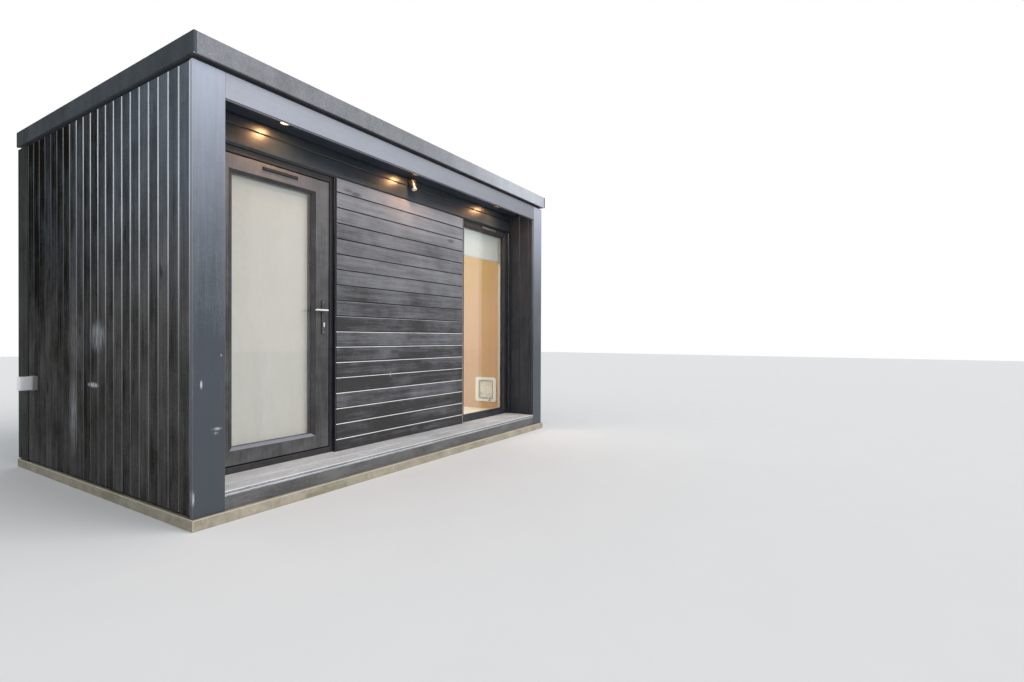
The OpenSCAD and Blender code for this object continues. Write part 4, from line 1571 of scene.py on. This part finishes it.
        # Painted reflection: the lever is bright above its middle and dark below, by the second colour under
        # that height.
        chrome = Moulded("lever_chrome", (0.90, 0.90, 0.91), (0.07, 0.07, 0.075), 0.05, 0.2, metal=0.6,
                         under=(low.z + high.z) / 2.0 - 0.001).mix()
        nickel = Moulded("cylinder_nickel", (0.80, 0.80, 0.80), (0.6, 0.6, 0.58), 0.1, 0.3, metal=0.4).mix()
        steel = Moulded("hinge_satin", (0.36, 0.35, 0.34), (0.20, 0.19, 0.18), 0.35, 0.34, metal=1.0).mix()
        dress("door_plates", plate)
        dress("door_lever", chrome)
        dress("hinge_frame_knuckles", steel)
        dress("hinge_leaf_knuckles", steel)
        low, high = corner("door_plates")
        middle = Vector(((low.x + high.x) / 2.0, 0.0, (low.z + high.z) / 2.0))
        leaf_low, leaf_high = corner("door_leaf")
        job = Joiner("plate_screws", smooth=True)
        face_out, face_in = leaf_low.y - self.plate_out, leaf_high.y + self.plate_out
        for dz in (-self.screw_reach, self.screw_reach):
            job.turned(self.screw, facing("-y", (middle.x, face_out, middle.z + dz)), 16)
            job.turned(self.screw, facing("+y", (middle.x, face_in, middle.z + dz)), 16)
        job.finish(steel, Body.DOOR)
        job = Joiner("lock_cylinder_faces", smooth=True)
        lock_z = middle.z - self.lock_below
        for direction, y in (("-y", face_out - 0.004), ("+y", face_in + 0.004)):
            place = facing(direction, (middle.x, y, lock_z))
            job.turned(self.lock, place, 24)
            tail = facing(direction, (middle.x, y, lock_z - 0.0145))
            job.prism(rounded(0.0098, 0.0185, 0.0048, 5), 0.0008, tail)
        job.finish(nickel, Body.DOOR)
        job = Joiner("keyways")
        for y in (face_out - 0.0054, face_in + 0.0046):
            job.board((middle.x - 0.0008, y, lock_z - 0.0035),
                      (middle.x + 0.0008, y + 0.0008, lock_z + 0.0035), 0.0)
        black = Moulded("keyway_black", (0.01, 0.01, 0.01), (0.05, 0.05, 0.05), 0.1, 0.5).mix()
        job.finish(black, Body.DOOR)

    def make(self) -> None:
        """Makes the frames and everything in them."""
        self.foil()
        self.glazing()
        self.blinds()
        self.vents()
        self.furniture()


@dataclass
class PetFlap(Maker):
    """The framed flap in the right wall."""

    wall: float = 0.010
    opening: tuple[float, float] = (0.186, 0.200)
    lip: float = 0.0012
    rib: float = 0.010
    rib_out: float = 0.0038
    panel_out: float = 0.0022

    def make(self) -> None:
        """Makes the frame on both faces, the passage and the flap."""
        # Painted cool daylight: the white frame has a blue-green cast.
        white = Moulded("flap_white", (0.84, 0.90, 0.91), (0.72, 0.75, 0.73), 0.15, 0.3).mix()
        grey = Moulded("flap_seal_grey", (0.20, 0.22, 0.22), (0.32, 0.32, 0.30), 0.3, 0.4).mix()
        smoke = Moulded("flap_panel", (0.96, 0.99, 0.99), (0.90, 0.92, 0.89), 0.2, 0.25, clear=0.3).mix()
        low, high = corner("pet_flap_frame")
        flap_low, flap_high = corner("pet_flap")
        centre = (low + high) / 2.0
        width, height = high.y - low.y, high.z - low.z
        hole_w, hole_h = self.opening
        job = Joiner("flap_frame", smooth=True)
        outer = rounded(width, height, 0.030, 8)
        inner = rounded(hole_w, hole_h, 0.010, 8)
        for direction, x in (("-x", low.x + self.wall), ("+x", high.x - self.wall)):
            place = facing(direction, (x, centre.y, centre.z))
            job.ring(outer, inner, self.wall - self.lip, place, 0.0035, 3)
        tunnel = rounded(hole_w + 2.0 * self.wall, hole_h + 2.0 * self.wall, 0.012, 8)
        place = facing("+x", (low.x + self.wall, centre.y, centre.z))
        job.ring(tunnel, inner, high.x - low.x - 2.0 * self.wall, place)
        job.finish(white, Body.BUILDING, ["pet_flap_frame"])
        job = Joiner("flap_seal")
        seal_out = rounded(hole_w + 0.012, hole_h + 0.012, 0.014, 8)
        seal_in = rounded(hole_w - 0.0005, hole_h - 0.0005, 0.010, 8)
        for direction, x in (("-x", low.x + self.lip), ("+x", high.x - self.lip)):
            job.ring(seal_out, seal_in, self.lip, facing(direction, (x, centre.y, centre.z)), 0.0004, 1)
        job.finish(grey, Body.BUILDING)
        job = Joiner("flap_catch", smooth=True)
        knob = Vector((low.x, centre.y - hole_w * 0.30, centre.z - hole_h / 2.0 - 0.020))
        job.prism(rounded(0.030, 0.012, 0.005, 5), 0.006, facing("-x", knob), 0.0015, 2)
        job.finish(grey, Body.BUILDING)
        job = Joiner("flap_door", smooth=True)
        axis = Vector(((flap_low.x + flap_high.x) / 2.0, flap_low.y, flap_high.z - 0.005))
        span = flap_high.y - flap_low.y
        pin, barrel, gap = 0.0025, 0.005, 0.006
        turn = Matrix.Translation(axis) @ Matrix.Rotation(-QUARTER, 4, "X")
        profile = [(0.0, 0.0), (pin, 0.0), (pin, gap), (barrel, gap), (barrel, span - gap), (pin, span - gap),
                   (pin, span), (0.0, span)]
        job.turned(profile, turn, 20)
        near, far, foot, top = flap_low.y + 0.012, flap_high.y - 0.012, flap_low.z, flap_high.z - 0.006
        job.board((axis.x - self.panel_out, near, foot), (axis.x + self.panel_out, far, top), 0.0015, 0.5, 2)
        left, right = axis.x - self.rib_out, axis.x + self.rib_out
        for y in (near, far - self.rib):
            job.board((left, y, foot), (right, y + self.rib, top), 0.0015, 0.5, 2)
        job.board((left, near, foot), (right, far, foot + self.rib), 0.0015, 0.5, 2)
        job.finish(smoke, Body.FLAP, ["pet_flap"])


@dataclass
class Inside(Maker):
    """The room's lining, floor and ceiling, and the supply box outside."""

    skin: float = 0.004
    ceiling: tuple[float, float] = (0.009, 0.0005)
    ceiling_boards: int = 6
    gap: float = 0.002
    box_base: float = 0.030
    box_ribs: int = 3

    def room(self) -> None:
        """Dresses the walls and the floor, and lines the ceiling."""
        left, right = corner("left_wall")[1].x, corner("right_wall")[0].x
        near, far = corner("front_wall_head")[1].y, corner("back_wall")[0].y
        front = (Axis.Y, near - self.skin, -1.0)
        for node, outside in (("left_wall", (Axis.X, left - self.skin, -1.0)),
                              ("right_wall", (Axis.X, right + self.skin, 1.0)),
                              ("back_wall", (Axis.Y, far + self.skin, 1.0)),
                              ("front_wall_piers", front), ("front_wall_head", front)):
            dress(node, Lining(f"lining_{node}", (0.53, 0.350, 0.205), (0.64, 0.46, 0.305), outside=outside,
                               fall=0.9).mix())
        dress("floor", Lining("floor_pale", (0.74, 0.70, 0.58), (0.86, 0.83, 0.74), Axis.X).mix())
        under, over = (corner("left_wall")[1].z - drop for drop in self.ceiling)
        width, half = (far - near) / self.ceiling_boards, self.gap / 2.0
        job = Joiner("ceiling_boards")
        for i in range(self.ceiling_boards):
            start = near + i * width
            job.board((left + half, start + half, under), (right - half, start + width - half, over), 0.0015)
        pale = Lining("ceiling_pale", (0.55, 0.52, 0.46), (0.66, 0.63, 0.57), Axis.X).mix()
        job.finish(pale, Body.BUILDING)

    def supply(self) -> None:
        """Makes the supply box: a ribbed grey base and a white cover."""
        grey = Moulded("box_grey", (0.24, 0.25, 0.25), (0.36, 0.36, 0.34), 0.35, 0.45).mix()
        white = Moulded("box_white", (0.92, 0.93, 0.95), (0.78, 0.78, 0.76), 0.2, 0.3).mix()
        low, high = corner("supply_box")
        base = high.x - self.box_base
        job = Joiner("supply_base", smooth=True)
        job.board((base, low.y, low.z), high, 0.003, 0.5, 2)
        for i in range(self.box_ribs):
            x = high.x - 0.006 - i * 0.009
            job.board((x - 0.004, low.y - 0.0012, low.z - 0.0012), (x, high.y + 0.0012, high.z + 0.0012),
                      0.001, 0.5, 2)
        job.finish(grey, Body.BUILDING)
        job = Joiner("supply_cover", smooth=True)
        job.board((low.x, low.y + 0.0015, low.z + 0.0015), (base + 0.0005, high.y - 0.0015, high.z - 0.0015),
                  0.004, 0.5, 3)
        job.board((low.x + 0.006, low.y - 0.0005, low.z + 0.008),
                  (base - 0.006, low.y + 0.004, high.z - 0.008), 0.001, 0.5, 2)
        job.finish(white, Body.BUILDING, ["supply_box"])

    def make(self) -> None:
        """Makes the room and the supply box."""
        self.room()
        self.supply()


@dataclass
class Studio(Maker):
    """The floor, the lights, the world and the camera."""

    lens: float = 18.368
    turned: float = 58.0757
    tilt: float = -0.3382
    roll: float = 0.2132
    stand: tuple[float, float, float] = (-3.251, -4.060, 0.999)
    fill: float = 0.6
    key: float = 1.9
    room: float = 60.0
    glow: float = 1.5
    sky: Colour = (0.92, 0.96, 1.0)
    ground: float = 30.0
    sensor: float = 36.0
    key_from: tuple[float, float, float] = (3.0, -8.0, 6.0)
    key_spread: float = 50.0
    room_size: tuple[float, float] = (3.0, 1.5)
    room_at: tuple[float, float, float] = (0.0, 0.15, 2.36)
    lamp_width: float = 0.05
    lens_radius: float = 0.03

    def floor(self) -> None:
        """Lays a pale floor."""
        p = Palette("studio_floor")
        grain = p.noise(p.place(), 3.0, 4.0, 0.5)
        p.close({"Base Color": p.blend(grain, (0.80, 0.80, 0.80), (0.83, 0.83, 0.83)), "Roughness": 0.9})
        job = Joiner("floor_plane")
        part = bmesh.new()
        bmesh.ops.create_grid(part, x_segments=1, y_segments=1, size=self.ground)
        job.take(part)
        mesh = bpy.data.meshes.new("studio_floor")
        job.bm.to_mesh(mesh)
        job.bm.free()
        mesh.materials.append(p.material)
        ground = bpy.data.objects.new("studio_floor", mesh)
        bpy.context.scene.collection.objects.link(ground)

    def world(self) -> None:
        """Lights the scene from all round, and shows white to the camera and to reflections."""
        world = bpy.data.worlds.new("studio")
        bpy.context.scene.world = world
        world.use_nodes = True
        nodes = Nodes(world.node_tree)
        seen = nodes.node("ShaderNodeLightPath", {}, {}, "Is Camera Ray")
        for ray in ("Is Glossy Ray", "Is Transmission Ray"):
            seen = seen.larger(nodes.node("ShaderNodeLightPath", {}, {}, ray))
        inputs = {0: seen}
        for i, (colour, strength) in enumerate(((self.sky, self.fill), ((1.0, 1.0, 1.0), 1.0))):
            light = {"Color": (*colour, 1.0), "Strength": strength}
            inputs[i + 1] = nodes.node("ShaderNodeBackground", {}, light)
        both = nodes.node("ShaderNodeMixShader", {}, inputs)
        out = nodes.tree.nodes.new("ShaderNodeOutputWorld")
        nodes.tree.links.new(both.socket, out.inputs[0])

    @staticmethod
    def hang(name: str, data: bpy.types.Light, at: Vector, aim: Vector, colour: Colour,
             shown: bool = False) -> None:
        """Hangs a lamp.

        Args:
            name: Its name.
            data: The lamp.
            at: Where it hangs.
            aim: What it looks at.
            colour: Its colour.
            shown: Whether reflections show it.
        """
        data.color = colour
        lamp = bpy.data.objects.new(name, data)
        lamp.location = at
        lamp.rotation_euler = (aim - at).to_track_quat("-Z", "Y").to_euler()
        lamp.visible_glossy = shown
        bpy.context.scene.collection.objects.link(lamp)

    def lights(self) -> None:
        """Hangs a broad soft key, a lamp in the room and the three lit downlights."""
        key = bpy.data.lights.new("key", "SUN")
        key.energy = self.key
        key.angle = math.radians(self.key_spread)
        self.hang("key", key, Vector(self.key_from), Vector((0.0, 0.0, 0.0)), (1.0, 0.99, 0.98))
        room = bpy.data.lights.new("room", "AREA")
        room.shape = "RECTANGLE"
        room.size, room.size_y = self.room_size
        room.energy = self.room
        at = Vector(self.room_at)
        self.hang("room", room, at, Vector((at.x, at.y, 0.0)), (1.0, 0.96, 0.9))
        low, high = corner("lamp_lenses")
        for x in (low.x + self.lens_radius, (low.x + high.x) / 2.0, high.x - self.lens_radius):
            glow = bpy.data.lights.new("downlight", "AREA")
            glow.energy = self.glow
            glow.shape = "DISK"
            glow.size = self.lamp_width
            at = Vector((x, (low.y + high.y) / 2.0, low.z - 0.004))
            self.hang("downlight", glow, at, at + Vector((0.0, 0.0, -1.0)), (1.0, 0.52, 0.23), shown=True)

    def camera(self) -> None:
        """Stands the camera where the photograph was taken."""
        data = bpy.data.cameras.new("camera")
        data.lens = self.lens
        data.sensor_width = self.sensor
        data.clip_start = 0.05
        data.clip_end = 200.0
        yaw, pitch, roll = (math.radians(a) for a in (self.turned, self.tilt, self.roll))
        ahead = Vector((math.sin(yaw) * math.cos(pitch), math.cos(yaw) * math.cos(pitch), math.sin(pitch)))
        right = Vector((math.cos(yaw), -math.sin(yaw), 0.0))
        up = right.cross(ahead)
        side = math.cos(roll) * right + math.sin(roll) * up
        top = math.cos(roll) * up - math.sin(roll) * right
        camera = bpy.data.objects.new("camera", data)
        turn = Matrix((side, top, -ahead)).transposed()
        camera.matrix_world = Matrix.Translation(self.stand) @ turn.to_4x4()
        bpy.context.scene.collection.objects.link(camera)
        bpy.context.scene.camera = camera

    def make(self) -> None:
        """Sets up the studio."""
        bpy.context.scene.view_settings.view_transform = "Standard"
        self.camera()
        self.world()
        self.lights()
        self.floor()


def main() -> None:
    """Builds the pod and its studio."""
    logging.basicConfig(level=logging.INFO, format="%(name)s: %(message)s")
    plan = Plan.read()
    makers: list[Maker] = [
        Studio(), Cladding(plan), Portal(plan), Roof(), Step(), Frames(), PetFlap(), Inside(),
    ]
    for maker in makers:
        maker.make()
        LOG.info("%s done", type(maker).__name__)


if __name__ == "__main__":
    main()
